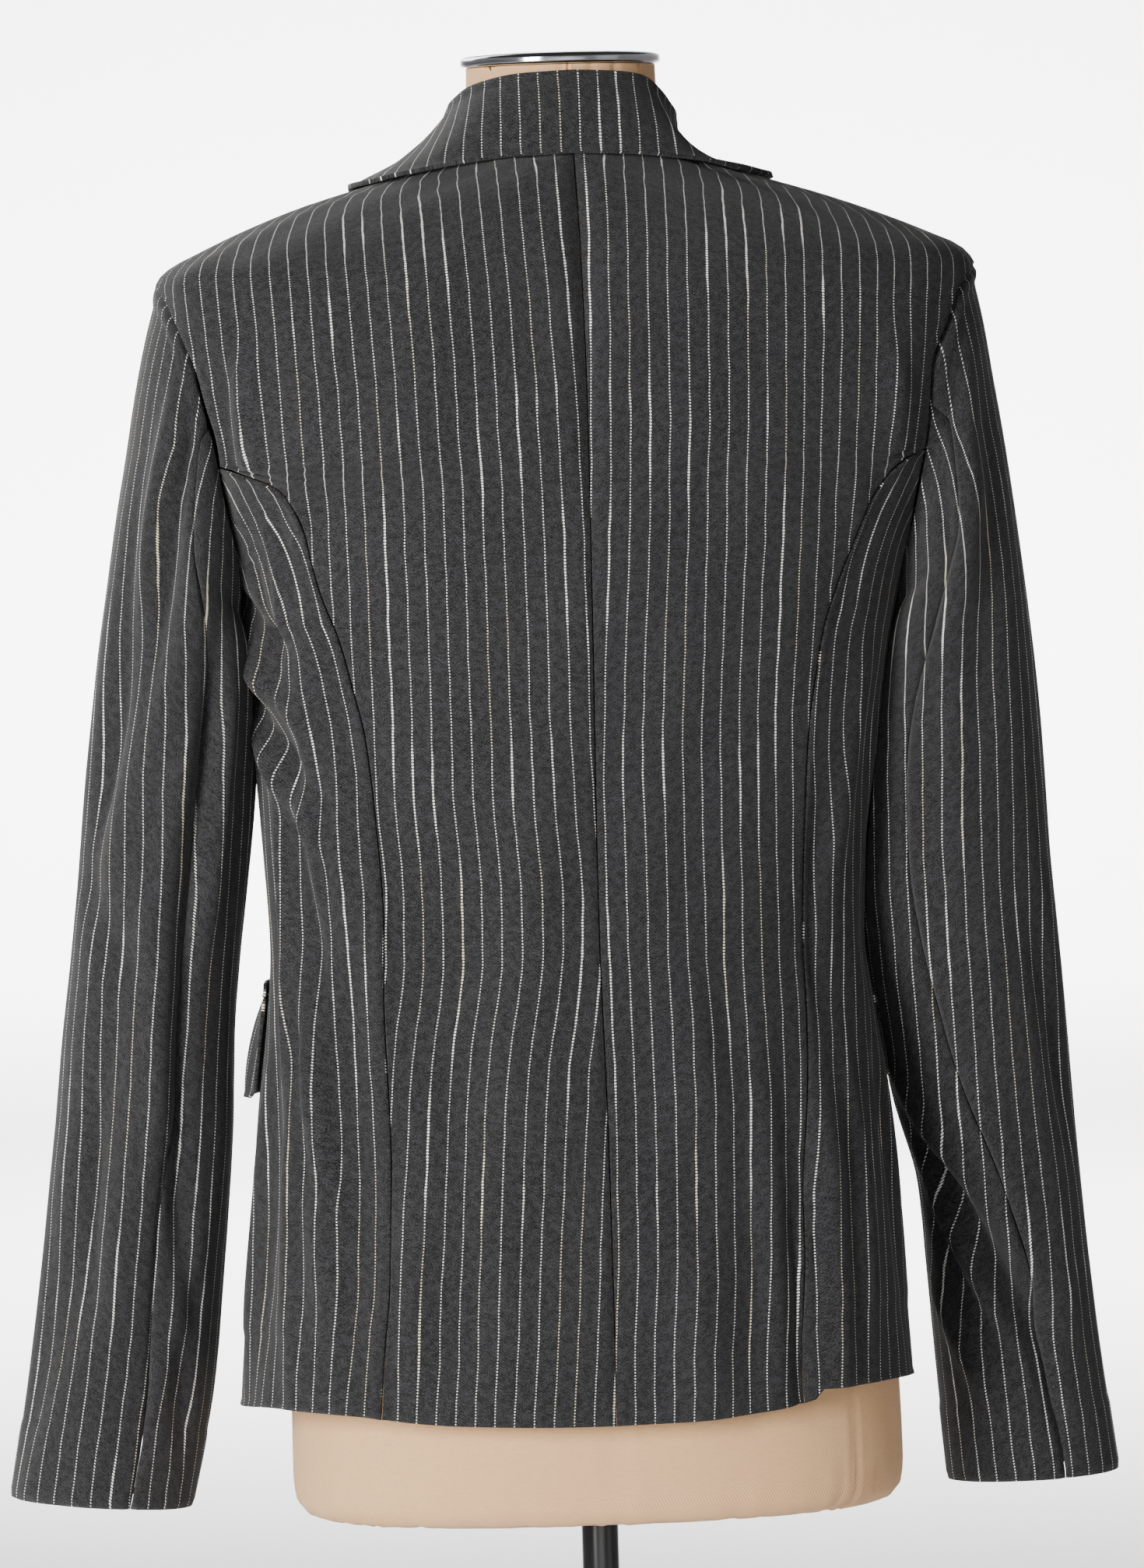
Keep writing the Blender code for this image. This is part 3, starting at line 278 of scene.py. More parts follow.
SLEEVE_RIGHT = (
    (0.2105, 1.38, 0.167, 1.2345, -0.001, 0.0545),
    (0.2145, 1.36, 0.1665, 1.23, -0.002, 0.0575),
    (0.2185, 1.335, 0.166, 1.2245, -0.003, 0.06),
    (0.224, 1.302, 0.166, 1.217, -0.004, 0.061),
    (0.229, 1.268, 0.16, 1.208, -0.006, 0.0605),
    (0.233, 1.235, 0.154, 1.196, -0.008, 0.059),
    (0.2365, 1.202, 0.149, 1.178, -0.01, 0.057),
    (0.24, 1.165, 0.144, 1.152, -0.0125, 0.0545),
    (0.243, 1.125, 0.141, 1.117, -0.016, 0.052),
    (0.2455, 1.085, 0.1405, 1.079, -0.019, 0.05),
    (0.249, 1.045, 0.145, 1.039, -0.023, 0.048),
    (0.2525, 1.005, 0.154, 0.999, -0.028, 0.046),
    (0.256, 0.962, 0.163, 0.956, -0.034, 0.0445),
    (0.2595, 0.918, 0.175, 0.912, -0.039, 0.043),
    (0.2635, 0.874, 0.179, 0.868, -0.045, 0.0415),
    (0.269, 0.828, 0.1825, 0.822, -0.05, 0.04),
    (0.2745, 0.79, 0.1855, 0.785, -0.053, 0.0395),
    (0.279, 0.758, 0.1885, 0.755, -0.056, 0.0385),
)
# The sleeves' back seams: height, angle. Then the sleeves' folds and creases, as on the body.
SLEEVE_SEAM_LEFT = ((0.756, 107.0), (0.86, 101.0), (0.9, 103.0), (0.93, 110.0), (1.15, 108.0), (1.3, 92.0))
SLEEVE_SEAM_RIGHT = ((0.756, 74.0), (0.82, 82.0), (0.89, 100.0), (0.96, 115.0), (1.09, 122.0), (1.3, 92.0))
SLEEVE_FRONT_SEAM = -112.0
BACK_SEAM_KNOT = 1.318
FRONT_SEAM_KNOT = 1.296
FOLDS_LEFT = (
    (70.0, 1.255, 25.0, 1.12, 0.014, -0.0055),
    (100.0, 1.24, 60.0, 1.11, 0.013, 0.003),
    (60.0, 1.01, 40.0, 0.83, 0.014, -0.006),
    (92.0, 1.0, 80.0, 0.85, 0.013, 0.003),
    (20.0, 1.09, 70.0, 1.04, 0.012, -0.003),
    (-80.0, 1.14, -40.0, 1.07, 0.014, -0.0045),
    (-90.0, 1.07, -45.0, 1.01, 0.013, -0.004),
    (-60.0, 0.98, -70.0, 0.82, 0.014, -0.0035),
)
FOLDS_RIGHT = (
    (68.0, 1.345, 100.0, 1.2, 0.014, 0.004),
    (48.0, 1.32, 80.0, 1.15, 0.013, -0.004),
    (128.0, 0.915, 84.0, 0.83, 0.013, -0.0055),
    (108.0, 0.96, 62.0, 0.85, 0.013, 0.004),
    (60.0, 1.08, 30.0, 0.95, 0.014, -0.003),
    (-80.0, 1.14, -40.0, 1.07, 0.014, -0.0045),
    (-90.0, 1.06, -45.0, 1.0, 0.013, -0.004),
)
CREASES_LEFT = (
    (82.0, 1.33, 66.0, 1.19, 0.007, -0.003),
    (60.0, 1.33, 50.0, 1.23, 0.007, 0.002),
    (40.0, 1.27, 32.0, 1.1, 0.008, -0.002),
    (112.0, 1.19, 106.0, 1.06, 0.006, -0.004),
    (124.0, 1.18, 122.0, 1.06, 0.007, 0.0026),
    (108.0, 1.06, 112.0, 0.93, 0.006, -0.0036),
    (94.0, 1.06, 96.0, 0.94, 0.007, 0.0022),
    (96.0, 1.16, 84.0, 1.06, 0.007, 0.002),
    (75.0, 1.08, 88.0, 1.01, 0.007, 0.0016),
    (50.0, 0.96, 62.0, 0.87, 0.006, -0.002),
    (112.0, 0.93, 130.0, 0.86, 0.007, -0.0028),
    (130.0, 0.9, 112.0, 0.82, 0.008, 0.0022),
    (118.0, 0.85, 138.0, 0.79, 0.007, -0.002),
    (20.0, 0.9, 24.0, 0.8, 0.01, -0.0012),
    (-60.0, 1.11, -30.0, 1.05, 0.007, -0.002),
    (-70.0, 1.03, -36.0, 0.99, 0.007, -0.0018),
)
CREASES_RIGHT = (
    (78.0, 1.35, 86.0, 1.27, 0.006, -0.002),
    (100.0, 1.29, 112.0, 1.18, 0.007, -0.0022),
    (90.0, 1.18, 96.0, 1.07, 0.008, 0.0016),
    (158.0, 0.936, 86.0, 0.842, 0.006, -0.0046),
    (158.0, 0.962, 82.0, 0.868, 0.007, 0.003),
    (86.0, 0.842, 74.0, 0.786, 0.006, -0.003),
    (160.0, 0.896, 104.0, 0.818, 0.0055, -0.0032),
    (158.0, 0.915, 96.0, 0.83, 0.005, 0.0028),
    (164.0, 0.862, 120.0, 0.8, 0.006, 0.0022),
    (60.0, 0.93, 52.0, 0.84, 0.008, 0.0012),
    (40.0, 1.05, 34.0, 0.93, 0.009, -0.0012),
    (-60.0, 1.11, -30.0, 1.05, 0.007, -0.002),
    (-66.0, 1.02, -34.0, 0.985, 0.007, -0.0018),
)
SLEEVE_FOLD_RADIUS = 0.048

# Collar: share, roll's angle, reach, height, edge's angle, reach, height, bow between them.
COLLAR = (
    (0.0, 0.0, 0.056, 1.4905, 0.0, 0.0672, 1.4494, 0.004),
    (0.14, 22.0, 0.0558, 1.4895, 25.0, 0.0715, 1.4482, 0.0035),
    (0.27, 42.0, 0.0552, 1.487, 45.0, 0.0812, 1.445, 0.0008),
    (0.38, 58.0, 0.0546, 1.484, 61.0, 0.093, 1.4408, -0.003),
    (0.48, 72.0, 0.0545, 1.4795, 74.0, 0.1025, 1.4374, -0.0052),
    (0.58, 88.0, 0.0552, 1.4745, 86.0, 0.1075, 1.4358, -0.005),
    (0.68, 102.0, 0.058, 1.468, 97.0, 0.11, 1.435, -0.0034),
    (0.78, 116.0, 0.064, 1.458, 107.0, 0.113, 1.434, -0.001),
    (0.89, 131.0, 0.074, 1.445, 117.0, 0.117, 1.423, 0.001),
    (1.0, 144.0, 0.089, 1.406, 125.0, 0.124, 1.395, 0.001),
)
COLLAR_CLEAR = 0.0030
STAND_END = 0.68
STAND_FOOT = 1.4494
STAND_FOOT_REACH = 0.0592
COLLAR_RIGHT_DROP = 0.0060
COLLAR_GRAIN = 0.0035
# The lapel: share of the way up, width.
LAPEL_WIDTH = ((0.0, 0.002), (0.2, 0.028), (0.5, 0.054), (0.7, 0.072), (0.8, 0.076))
LAPEL_START = (0.145, 0.012)
LAPEL_END = 0.80
GORGE_RISE = 0.020
POCKET_TOP = 1.022
POCKET_ANGLES = ((90.0, 137.0), (93.0, 143.0))
FLAP_SWING = (0.0072, 0.0066)
FLAP_HEIGHT = 0.052
WELT_HEIGHT = 0.0075

# Rings of the dress form, with the body's columns.
FORM_RINGS = (
    (0.755, 0.145, 0.145, 0.09, 0.095, 2.3),
    (0.757, 0.151, 0.151, 0.095, 0.1, 2.3),
    (0.763, 0.156, 0.156, 0.0985, 0.1045, 2.3),
    (0.775, 0.1575, 0.1575, 0.0995, 0.106, 2.3),
    (0.83, 0.157, 0.156, 0.1, 0.106, 2.3),
    (0.89, 0.153, 0.152, 0.097, 0.103, 2.25),
    (0.96, 0.144, 0.14, 0.086, 0.095, 2.2),
    (1.047, 0.123, 0.122, 0.07, 0.084, 2.1),
    (1.12, 0.129, 0.129, 0.074, 0.092, 2.15),
    (1.2, 0.143, 0.143, 0.083, 0.109, 2.2),
    (1.27, 0.155, 0.155, 0.09, 0.104, 2.3),
    (1.33, 0.17, 0.17, 0.093, 0.09, 2.4),
    (1.37, 0.184, 0.184, 0.09, 0.08, 2.45),
    (1.39, 0.1895, 0.1895, 0.086, 0.0725, 2.55),
    (1.402, 0.1869, 0.1869, 0.0848, 0.0699, 2.6),
    (1.4125, 0.164, 0.162, 0.0808, 0.065, 2.65),
    (1.4235, 0.1344, 0.1306, 0.0759, 0.0599, 2.72),
    (1.434, 0.074, 0.074, 0.059, 0.051, 2.4),
    (1.445, 0.056, 0.056, 0.052, 0.049, 2.15),
    (1.46, 0.0494, 0.0494, 0.049, 0.0485, 2.0),
    (1.4952, 0.0485, 0.0485, 0.0485, 0.0485, 2.0),
)

FORM_RADIUS = 0.130  # about, for measuring round the form
NECK_RADIUS = 0.0485
CAP_FOOT, CAP_TOP = 1.4955, 1.5013
POLE_FOOT, POLE_TOP = 0.0303, 0.7547

# How far the grain runs past each seam, in metres across the cloth, by height.
GRAIN_BACK_LEFT = (
    (0.80, -0.012), (0.98, 0.001), (1.045, 0.011), (1.075, 0.0118), (1.13, 0.0085), (1.26, 0.0065), (1.4425, 0.0),
)
GRAIN_BACK_RIGHT = (
    (0.80, 0.021), (0.84, 0.020), (0.90, 0.017), (1.00, 0.0156), (1.13, 0.0156), (1.27, 0.010), (1.4425, 0.0047),
)
GRAIN_SIDE = ((0.80, 0.0005), (1.10, 0.0005), (1.20, 0.004), (1.25, 0.000), (1.296, -0.010))
GRAIN_SIDE_RIGHT = 0.003
GRAIN_SIDE_TOP = 1.215
TURN = 6.2832

# ---------------------------------------------------------------- small tools

_seen = {}


def table(rows, value, column=1):
    """The column's value where the first column holds `value`, along a smooth curve through the rows."""
    key = (id(rows), value, column)
    if key not in _seen:
        _seen[key] = read_table(rows, value, column)
    return _seen[key]


def read_table(rows, value, column):
    last = len(rows) - 1
    if value <= rows[0][0]:
        return rows[0][column]
    if value >= rows[last][0]:
        return rows[last][column]
    at = max(i for i in range(last) if rows[i][0] <= value)
    x0, x1 = rows[at][0], rows[at + 1][0]
    y0, y1 = rows[at][column], rows[at + 1][column]
    rise = (y1 - y0) / (x1 - x0)
    before = rise if at == 0 else (y0 - rows[at - 1][column]) / (x0 - rows[at - 1][0])
    after = rise if at + 1 == last else (rows[at + 2][column] - y1) / (rows[at + 2][0] - x1)
    slope0 = 0.0 if before * rise <= 0 else 2 * before * rise / (before + rise)
    slope1 = 0.0 if after * rise <= 0 else 2 * after * rise / (after + rise)
    width = x1 - x0
    t = (value - x0) / width
    start = (1 + 2 * t) * (1 - t) ** 2 * y0 + t * (1 - t) ** 2 * width * slope0
    end = t * t * (3 - 2 * t) * y1 + t * t * (t - 1) * width * slope1
    return start + end


def soft_step(value, low, high):
    t = min(max((value - low) / (high - low), 0.0), 1.0)
    return t * t * (3 - 2 * t)


def soft_steps(values, low, high):
    t = np.clip((values - low) / (high - low), 0.0, 1.0)
    return t * t * (3 - 2 * t)


def mix(a, b, t):
    return a + (b - a) * t


def side_name(side):
    return "left" if side > 0 else "right"


def fold_heights(folds, across, along, radius):
    """How far the folds stand out at each place of a grid."""
    total = np.zeros_like(across)
    scale = math.radians(radius)
    px, py = across * scale, along
    for a0, b0, a1, b1, width, depth in folds:
        x0, y0 = a0 * scale, b0
        dx, dy = a1 * scale - x0, b1 - y0
        length = math.hypot(dx, dy)
        t = ((px - x0) * dx + (py - y0) * dy) / length**2
        aside = ((px - x0) * dy - (py - y0) * dx) / length
        fade = soft_steps(t, -0.3, 0.25) * (1 - soft_steps(t, 0.75, 1.3))
        total += depth * fade * np.exp(-((aside / width) ** 2))
    return total


def ring_point(rings, angle, height, out=0.0):
    """A place on a ring surface, moved `out` along the ring's own outward direction."""
    turn = math.radians(angle)
    aside, ahead = math.sin(turn), math.cos(turn)
    half = table(rings, height, 1 if aside >= 0 else 2)
    deep = table(rings, height, 3 if ahead >= 0 else 4)
    power = table(rings, height, 5)
    x = math.copysign(half * abs(aside) ** (2 / power), aside)
    y = math.copysign(deep * abs(ahead) ** (2 / power), ahead)
    nx = math.copysign(abs(aside) ** (2 - 2 / power) / half, aside)
    ny = math.copysign(abs(ahead) ** (2 - 2 / power) / deep, ahead)
    length = math.hypot(nx, ny)
    return (x + out * nx / length, y + out * ny / length, height)


def angle_at(x, height, front=False):
    half = table(BODY_RINGS, height, 1 if x >= 0 else 2)
    power = table(BODY_RINGS, height, 5)
    turn = math.degrees(math.asin(min(abs(x) / half, 1.0) ** (power / 2)))
    return math.copysign(180 - turn if front else turn, x)


def wrapped(angle):
    if angle > 180:
        return angle - 360
    return angle + 360 if angle < -180 else angle


def body_point(angle, height, out=0.0):
    return ring_point(BODY_RINGS, wrapped(angle), height, out)


def ring_arcs(angles, heights):
    """How far round the body each place lies from the centre back at its own height."""
    levels = np.linspace(0.780, 1.460, 341)
    columns = [np.interp(heights, levels, [table(BODY_RINGS, z, c) for z in levels]) for c in range(1, 6)]
    left, right, back, front, power = (c[..., None] for c in columns)
    turn = np.radians(np.linspace(0.0, 1.0, 65) * angles[..., None])
    aside, ahead = np.sin(turn), np.cos(turn)
    x = np.where(aside >= 0, left, right) * np.sign(aside) * np.abs(aside) ** (2 / power)
    y = np.where(ahead >= 0, back, front) * np.sign(ahead) * np.abs(ahead) ** (2 / power)
    return np.hypot(np.diff(x, axis=-1), np.diff(y, axis=-1)).sum(axis=-1)


def seam_step(angle, height):
    a, b = ring_point(BODY_RINGS, angle - 0.5, height), ring_point(BODY_RINGS, angle + 0.5, height)
    return SEAM / 2 / math.dist(a, b)


def armhole_angle(height, side, front):
    if height >= SHOULDER_TIP or height <= ARMPIT:
        return 90.0 * side
    angle = table(ARMHOLE, height, 1 if side > 0 else 2)
    return side * (180 - angle if front else angle)


def back_edge(height, side):
    if height < SEAM_TOP - 1e-6:
        return angle_at(side * table(BACK_SEAM, height, 1 if side > 0 else 2), height)
    return armhole_angle(height, side, False)


def side_edge(height, side):
    if height < FRONT_SEAM_TOP - 1e-6:
        return side * table(SIDE_SEAM, height, 1 if side > 0 else 2)
    return armhole_angle(height, side, True)


def front_x_angle(x, height, side):
    if x >= 0:
        return angle_at(side * x, height, True)
    return side * (360 - abs(angle_at(-side * x, height, True)))


def front_edge_x(height):
    rise = max(height - BREAK_POINT, 0.0) / (NECK_SIDE - BREAK_POINT)
    return mix(-FRONT_LAP, table(BODY_RINGS, NECK_SIDE, 1) - 0.0035, rise)


def front_edge(height, side):
    return front_x_angle(front_edge_x(height), height, side)


def row_height(level, low):
    if level >= HEM_EVEN:
        return level
    return mix(low, HEM_EVEN, (level - HEM_BACK) / (HEM_EVEN - HEM_BACK))


def between(start, end, share, height):
    start += math.copysign(seam_step(start, height), end - start)
    end -= math.copysign(seam_step(end, height), end - start)
    return mix(start, end, share)


def hem_between(inner, outer):
    return lambda s: table(HEM, mix(inner(HEM_BACK), outer(HEM_BACK), s))


def finer(levels, step):
    """The same levels with more between them."""
    made = [levels[0]]
    for low, high in zip(levels, levels[1:]):
        parts = max(1, round((high - low) / step))
        made += [mix(low, high, (i + 1) / parts) for i in range(parts)]
    return made


# ---------------------------------------------------------------- cloth sheets


class Sheet:
    """A grid of places with each one's angle and height, and the cloth's own measures across and along."""

    def __init__(self, columns, rows, place):
        shape = (rows + 1, columns + 1)
        self.points = np.empty((*shape, 3))
        self.angles = np.empty(shape)
        self.heights = np.empty(shape)
        for row in range(rows + 1):
            for column in range(columns + 1):
                point, angle, height = place(column / columns, row / rows)
                self.points[row, column] = point
                self.angles[row, column] = angle
                self.heights[row, column] = height
        self.facing = self.normals()
        self.measure()

    def measure(self, column=0, row=None):
        """Measures the cloth across from one column and along from one row."""
        across = np.linalg.norm(np.diff(self.points, axis=1), axis=2)
        along = np.linalg.norm(np.diff(self.points, axis=0), axis=2)
        zeros = np.zeros((self.points.shape[0], 1))
        self.across = np.hstack([zeros, np.cumsum(across, axis=1)])
        self.from_last = self.across[:, -1:] - self.across
        self.across = self.across - self.across[:, column : column + 1]
        zeros = np.zeros((1, self.points.shape[1]))
        self.along = np.vstack([zeros, np.cumsum(along, axis=0)])
        self.from_foot = self.along.copy()
        self.from_top = self.along[-1:, :] - self.along
        row = self.points.shape[0] // 2 if row is None else row
        start = self.along[row : row + 1, :]
        self.along = self.along - start + start[0, start.shape[1] // 2]
        self.from_first = self.across - self.across[:, :1]

    def normals(self):
        ds = np.gradient(self.points, axis=1)
        dt = np.gradient(self.points, axis=0)
        normal = np.cross(ds, dt)
        return normal / np.maximum(np.linalg.norm(normal, axis=2, keepdims=True), 1e-12)

    def outer_edge(self):
        """How far each place lies from the foot or an end."""
        return np.minimum(self.from_foot, np.minimum(self.from_first, self.from_last))

    def push(self, heights, outward):
        self.points += self.facing * heights[:, :, None] * outward


def ripple(across, along, seed, size):
    """Slight unevenness, as cloth keeps from wear: a few crossing waves."""
    rng = np.random.default_rng(seed)
    total = np.zeros_like(across)
    for _ in range(7):
        kx, ky = rng.uniform(18, 90), rng.uniform(6, 40)
        turn = rng.uniform(0, 6.28)
        total += np.sin(across * kx * 6.28 * 0.35 + along * ky * rng.choice([-1, 1]) + turn)
    return total * size / 7


def groove(distance, width, depth):
    return -depth * np.exp(-((distance / width) ** 2))


def ridge(distance, middle, width, height):
    return height * np.exp(-(((distance - middle) / width) ** 4))


def linked(name, data):
    """A new object with this data, in the scene."""
    made = bpy.data.objects.new(name, data)
    bpy.context.scene.collection.objects.link(made)
    return made


def mesh_from(shape, name, *materials):
    """Ends a bmesh as a mesh with its materials."""
    mesh = bpy.data.meshes.new(name)
    shape.to_mesh(mesh)
    shape.free()
    for material in materials:
        mesh.materials.append(material)
    return mesh


def sheet_object(name, sheet, material, thickness, outward, shift=0.0):
    """Makes the sheet's mesh with its cut measures, and thickens it away from its outer face."""
    rows, columns = sheet.angles.shape
    index = np.arange(rows * columns).reshape(rows, columns)
    quads = np.stack([index[:-1, :-1], index[:-1, 1:], index[1:, 1:], index[1:, :-1]], axis=-1).reshape(-1, 4)
    if outward < 0:
        quads = quads[:, ::-1]
    mesh = bpy.data.meshes.new(name)
    mesh.from_pydata(sheet.points.reshape(-1, 3).tolist(), [], quads.tolist())
    cut = np.stack([sheet.across.reshape(-1) + shift, sheet.along.reshape(-1)], axis=1)
    layer = mesh.uv_layers.new(name="cut")
    layer.data.foreach_set("uv", cut[quads.reshape(-1)].astype(np.float32).reshape(-1))
    mesh.materials.append(material)
    mesh.shade_smooth()
    made = linked(name, mesh)
    wall = made.modifiers.new("cloth", "SOLIDIFY")
    wall.thickness = thickness
    wall.offset = -1.0
    wall.use_even_offset = True
    wall.thickness_clamp = 1.0
    return made


def seat(made, slot, *nodes):
    """Fixes a piece to the frame in place of its solids."""
    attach(made, "root")
    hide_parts(*nodes)


def finish_cloth(made, nodes):
    """Seats a cloth piece on its solid."""
    seat(made, "charcoal_twill", *nodes)


# ---------------------------------------------------------------- materials


class Wiring:
    """Adds shader nodes and joins them up."""

    def __init__(self, name):
        self.material = bpy.data.materials.new(name)
        self.material.use_nodes = True
        self.tree = self.material.node_tree
        self.shader = self.tree.nodes["Principled BSDF"]

    def add(self, kind, **values):
        node = self.tree.nodes.new(kind)
        for key, value in values.items():
            setattr(node, key, value)
        return node

    def join(self, source, target):
        if hasattr(source, "is_output"):
            self.tree.links.new(source, target)
        else:
            target.default_value = source

    def math(self, operation, a, b=0.0, c=0.0, clamp=False):
        node = self.add("ShaderNodeMath", operation=operation, use_clamp=clamp)
        for socket, value in zip(node.inputs, (a, b, c)):
            self.join(value, socket)
        return node.outputs[0]

    def times(self, a, b):
        return self.math("MULTIPLY", a, b)

    def fit(self, value, scale, offset, clamp=False):
        """The value times the scale, plus the offset."""
        return self.math("MULTIPLY_ADD", value, scale, offset, clamp)

    def blend(self, share, a, b):
        node = self.add("ShaderNodeMix", data_type="RGBA")
        for name, value in (("Factor", share), ("A", a), ("B", b)):
            sockets = [s for s in node.inputs if s.name == name and s.enabled]
            self.join(value, sockets[0])
        return [s for s in node.outputs if s.enabled][0]

    def noise(self, vector, scale, detail=2.0):
        node = self.add("ShaderNodeTexNoise")
        node.inputs["Scale"].default_value = scale
        node.inputs["Detail"].default_value = detail
        self.join(vector, node.inputs["Vector"])
        return node.outputs["Fac"]

    def vector(self, x, y, z=0.0):
        node = self.add("ShaderNodeCombineXYZ")
        for socket, value in zip(node.inputs, (x, y, z)):
            self.join(value, socket)
        return node.outputs[0]

    def step(self, value, low, high):
        node = self.add("ShaderNodeMapRange", interpolation_type="SMOOTHSTEP")
        for name, put in (("Value", value), ("From Min", low), ("From Max", high)):
            self.join(put, node.inputs[name])
        return node.outputs["Result"]

    def cut_place(self):
        """The cloth's own measures, across and along, in metres."""
        cut = self.add("ShaderNodeUVMap", uv_map="cut")
        split = self.add("ShaderNodeSeparateXYZ")
        self.join(cut.outputs[0], split.inputs[0])
        return split.outputs[0], split.outputs[1]

    def flecks(self, place, across, along, detail=2.0):
        """Noise with about so many spots a metre across the cloth and along it."""
        return self.noise(self.vector(self.times(place[0], across), self.times(place[1], along)), 1.0, detail)

    def bump(self, height, strength, distance):
        node = self.add("ShaderNodeBump")
        node.inputs["Strength"].default_value = strength
        node.inputs["Distance"].default_value = distance
        self.join(height, node.inputs["Height"])
        return node.outputs["Normal"]

    def set(self, **values):
        for name, value in values.items():
            self.join(value, self.shader.inputs[name.replace("_", " ")])


def colour(value):
    return (*value, 1.0)


def cloth_material():
    """Charcoal twill with rows of small ivory dots, each row swelling and turning golden here and there. Broad darker
    and lighter clouds over it are painted shade standing in for the folds' shading.
    """
    name = "charcoal_pinstripe"
    if name in bpy.data.materials:
        return bpy.data.materials[name]
    settings = bpy.context.scene.blazer_cloth
    w = Wiring(name)
    u, v = w.cut_place()
    u = w.math("ADD", u, w.fit(w.flecks((u, v), 14.0, 24.0), 0.0026, -0.0013))

    diagonal = w.times(w.math("SUBTRACT", v, w.times(u, 0.8)), TURN / settings.twill_pitch)
    wobble = w.flecks((u, v), 420.0, 420.0)
    rib = w.math("SINE", w.math("ADD", diagonal, w.times(wobble, 4.2)))
    fuzz = w.step(w.flecks((u, v), 1500.0, 1100.0), 0.30, 0.72)
    patchy = w.step(w.flecks((u, v), 300.0, 260.0), 0.3, 0.7)
    # Painted shade: broad clouds a few centimetres across darken and lighten the cloth at random, standing in for the
    # soft shading of folds.
    painted_fold_shade = w.flecks((u, v), 22.0, 14.0, 3.0)

    dark = colour([c * 0.15 for c in settings.cloth_colour])
    light = colour([c * 2.60 for c in settings.cloth_colour])
    share = w.fit(rib, 0.13, w.fit(fuzz, 0.72, 0.0))
    share = w.math("ADD", share, w.fit(patchy, 0.30, -0.12))
    share = w.math("ADD", share, w.fit(painted_fold_shade, 0.30, -0.15), clamp=True)
    base = w.blend(share, dark, light)
    height = w.fit(rib, 0.5, fuzz)

    lane = w.math("ROUND", w.math("DIVIDE", u, settings.stripe_pitch))
    aside = w.math("ABSOLUTE", w.math("SUBTRACT", u, w.times(lane, settings.stripe_pitch)))
    start = w.times(w.math("SINE", w.times(lane, 12.9)), 0.37)
    beat = w.math("ADD", w.math("DIVIDE", v, settings.dot_pitch), start)
    along = w.math("ABSOLUTE", w.math("SUBTRACT", w.math("FRACT", beat), 0.5))
    along = w.times(along, settings.dot_pitch)
    swell = w.step(w.flecks((lane, v), 7.31, 11.0, 1.0), 0.56, 0.66)
    jitter = w.fit(w.flecks((lane, v), 3.17, 160.0, 1.0), 1.0, 0.5)
    half_width = w.times(w.fit(swell, 0.00024, settings.dot_width / 2), jitter)
    half_length = w.fit(swell, 0.00016, settings.dot_pitch * 0.27)
    far = w.math(
        "ADD",
        w.math("POWER", w.math("DIVIDE", aside, half_width), 2.0),
        w.math("POWER", w.math("DIVIDE", along, half_length), 2.0),
    )
    dot = w.math("SUBTRACT", 1.0, w.step(far, 0.75, 1.25))
    gold_run = w.vector(w.times(lane, 5.77), w.fit(v, 6.0, 40.0))
    golden = w.step(w.noise(gold_run, 1.0, 1.0), 0.58, 0.70)
    pale = w.blend(w.times(golden, 0.75), colour(settings.stripe_colour), colour(settings.gold_colour))
    dim = w.fit(swell, 0.10, 0.90)
    base = w.blend(w.times(dot, dim), base, pale)
    height = w.fit(dot, 1.4, height)

    w.set(Base_Color=base, Roughness=0.86, Sheen_Weight=0.10, Sheen_Roughness=0.5)
    w.set(Specular_IOR_Level=0.25, Normal=w.bump(height, 0.8, 0.00022))
    return w.material


def canvas_material(settings):
    """Plain-woven beige canvas."""
    w = Wiring("form_canvas_woven")
    u, v = w.cut_place()
    warp, weft = (w.math("SINE", w.times(along, TURN / settings.canvas_pitch)) for along in (u, v))
    weave = w.times(warp, weft)
    slub = w.flecks((u, v), 260.0, 900.0, 3.0)
    stain = w.flecks((u, v), 9.0, 9.0, 3.0)
    dark = colour([c * 0.72 for c in settings.canvas_colour])
    share = w.fit(weave, 0.24, w.fit(slub, 0.7, 0.28), clamp=True)
    base = w.blend(share, dark, colour(settings.canvas_colour))
    base = w.blend(w.times(w.step(stain, 0.45, 0.75), 0.16), base, dark)
    w.set(Base_Color=base, Roughness=0.92, Sheen_Weight=0.15)
    w.set(Normal=w.bump(w.math("ADD", weave, slub), 0.5, 0.00022))
    return w.material


def hard_material(name, base, roughness, metallic=0.0, coat=0.0):
    """A hard finish with slight smudges in its gloss."""
    w = Wiring(name)
    place = w.add("ShaderNodeTexCoord")
    smudge = w.noise(place.outputs["Object"], 34.0, 4.0)
    w.set(Base_Color=colour(base), Metallic=metallic, Coat_Weight=coat, Roughness=w.fit(smudge, 0.10, roughness))
    fine = w.noise(place.outputs["Object"], 900.0, 2.0)
    w.set(Normal=w.bump(fine, 0.10, 0.00005))
    return w.material


# ---------------------------------------------------------------- body panels


def body_sheet(columns, levels, inner, outer, low, high, out=None):
    """A panel between two edge angles, with its rows at the given levels."""
    top = len(levels) - 1

    def place(s, t):
        row = round(t * top)
        level = levels[row]
        height = row_height(level, low(s))
        if level > NECK_BEND:
            height = mix(NECK_BEND, high(s), (level - NECK_BEND) / (levels[top] - NECK_BEND))
        angle = between(inner(height), outer(height), s, height)
        return body_point(angle, height, out(angle, height) if out else 0.0), wrapped(angle), height

    return Sheet(columns, top, place)


def body_relief(sheet):
    """The folds, the creases and the cloth's unevenness. Near the centre front all of it fades."""
    calm = 1 - soft_steps(np.abs(sheet.angles), 150, 172)
    relief = fold_heights(BODY_FOLDS, sheet.angles, sheet.heights, FOLD_RADIUS)
    relief += fold_heights(BODY_CREASES, sheet.angles, sheet.heights, FOLD_RADIUS) * CREASE_STRENGTH
    return (relief + ripple(np.radians(sheet.angles) * FOLD_RADIUS, sheet.heights, 7, BODY_RIPPLE)) * calm


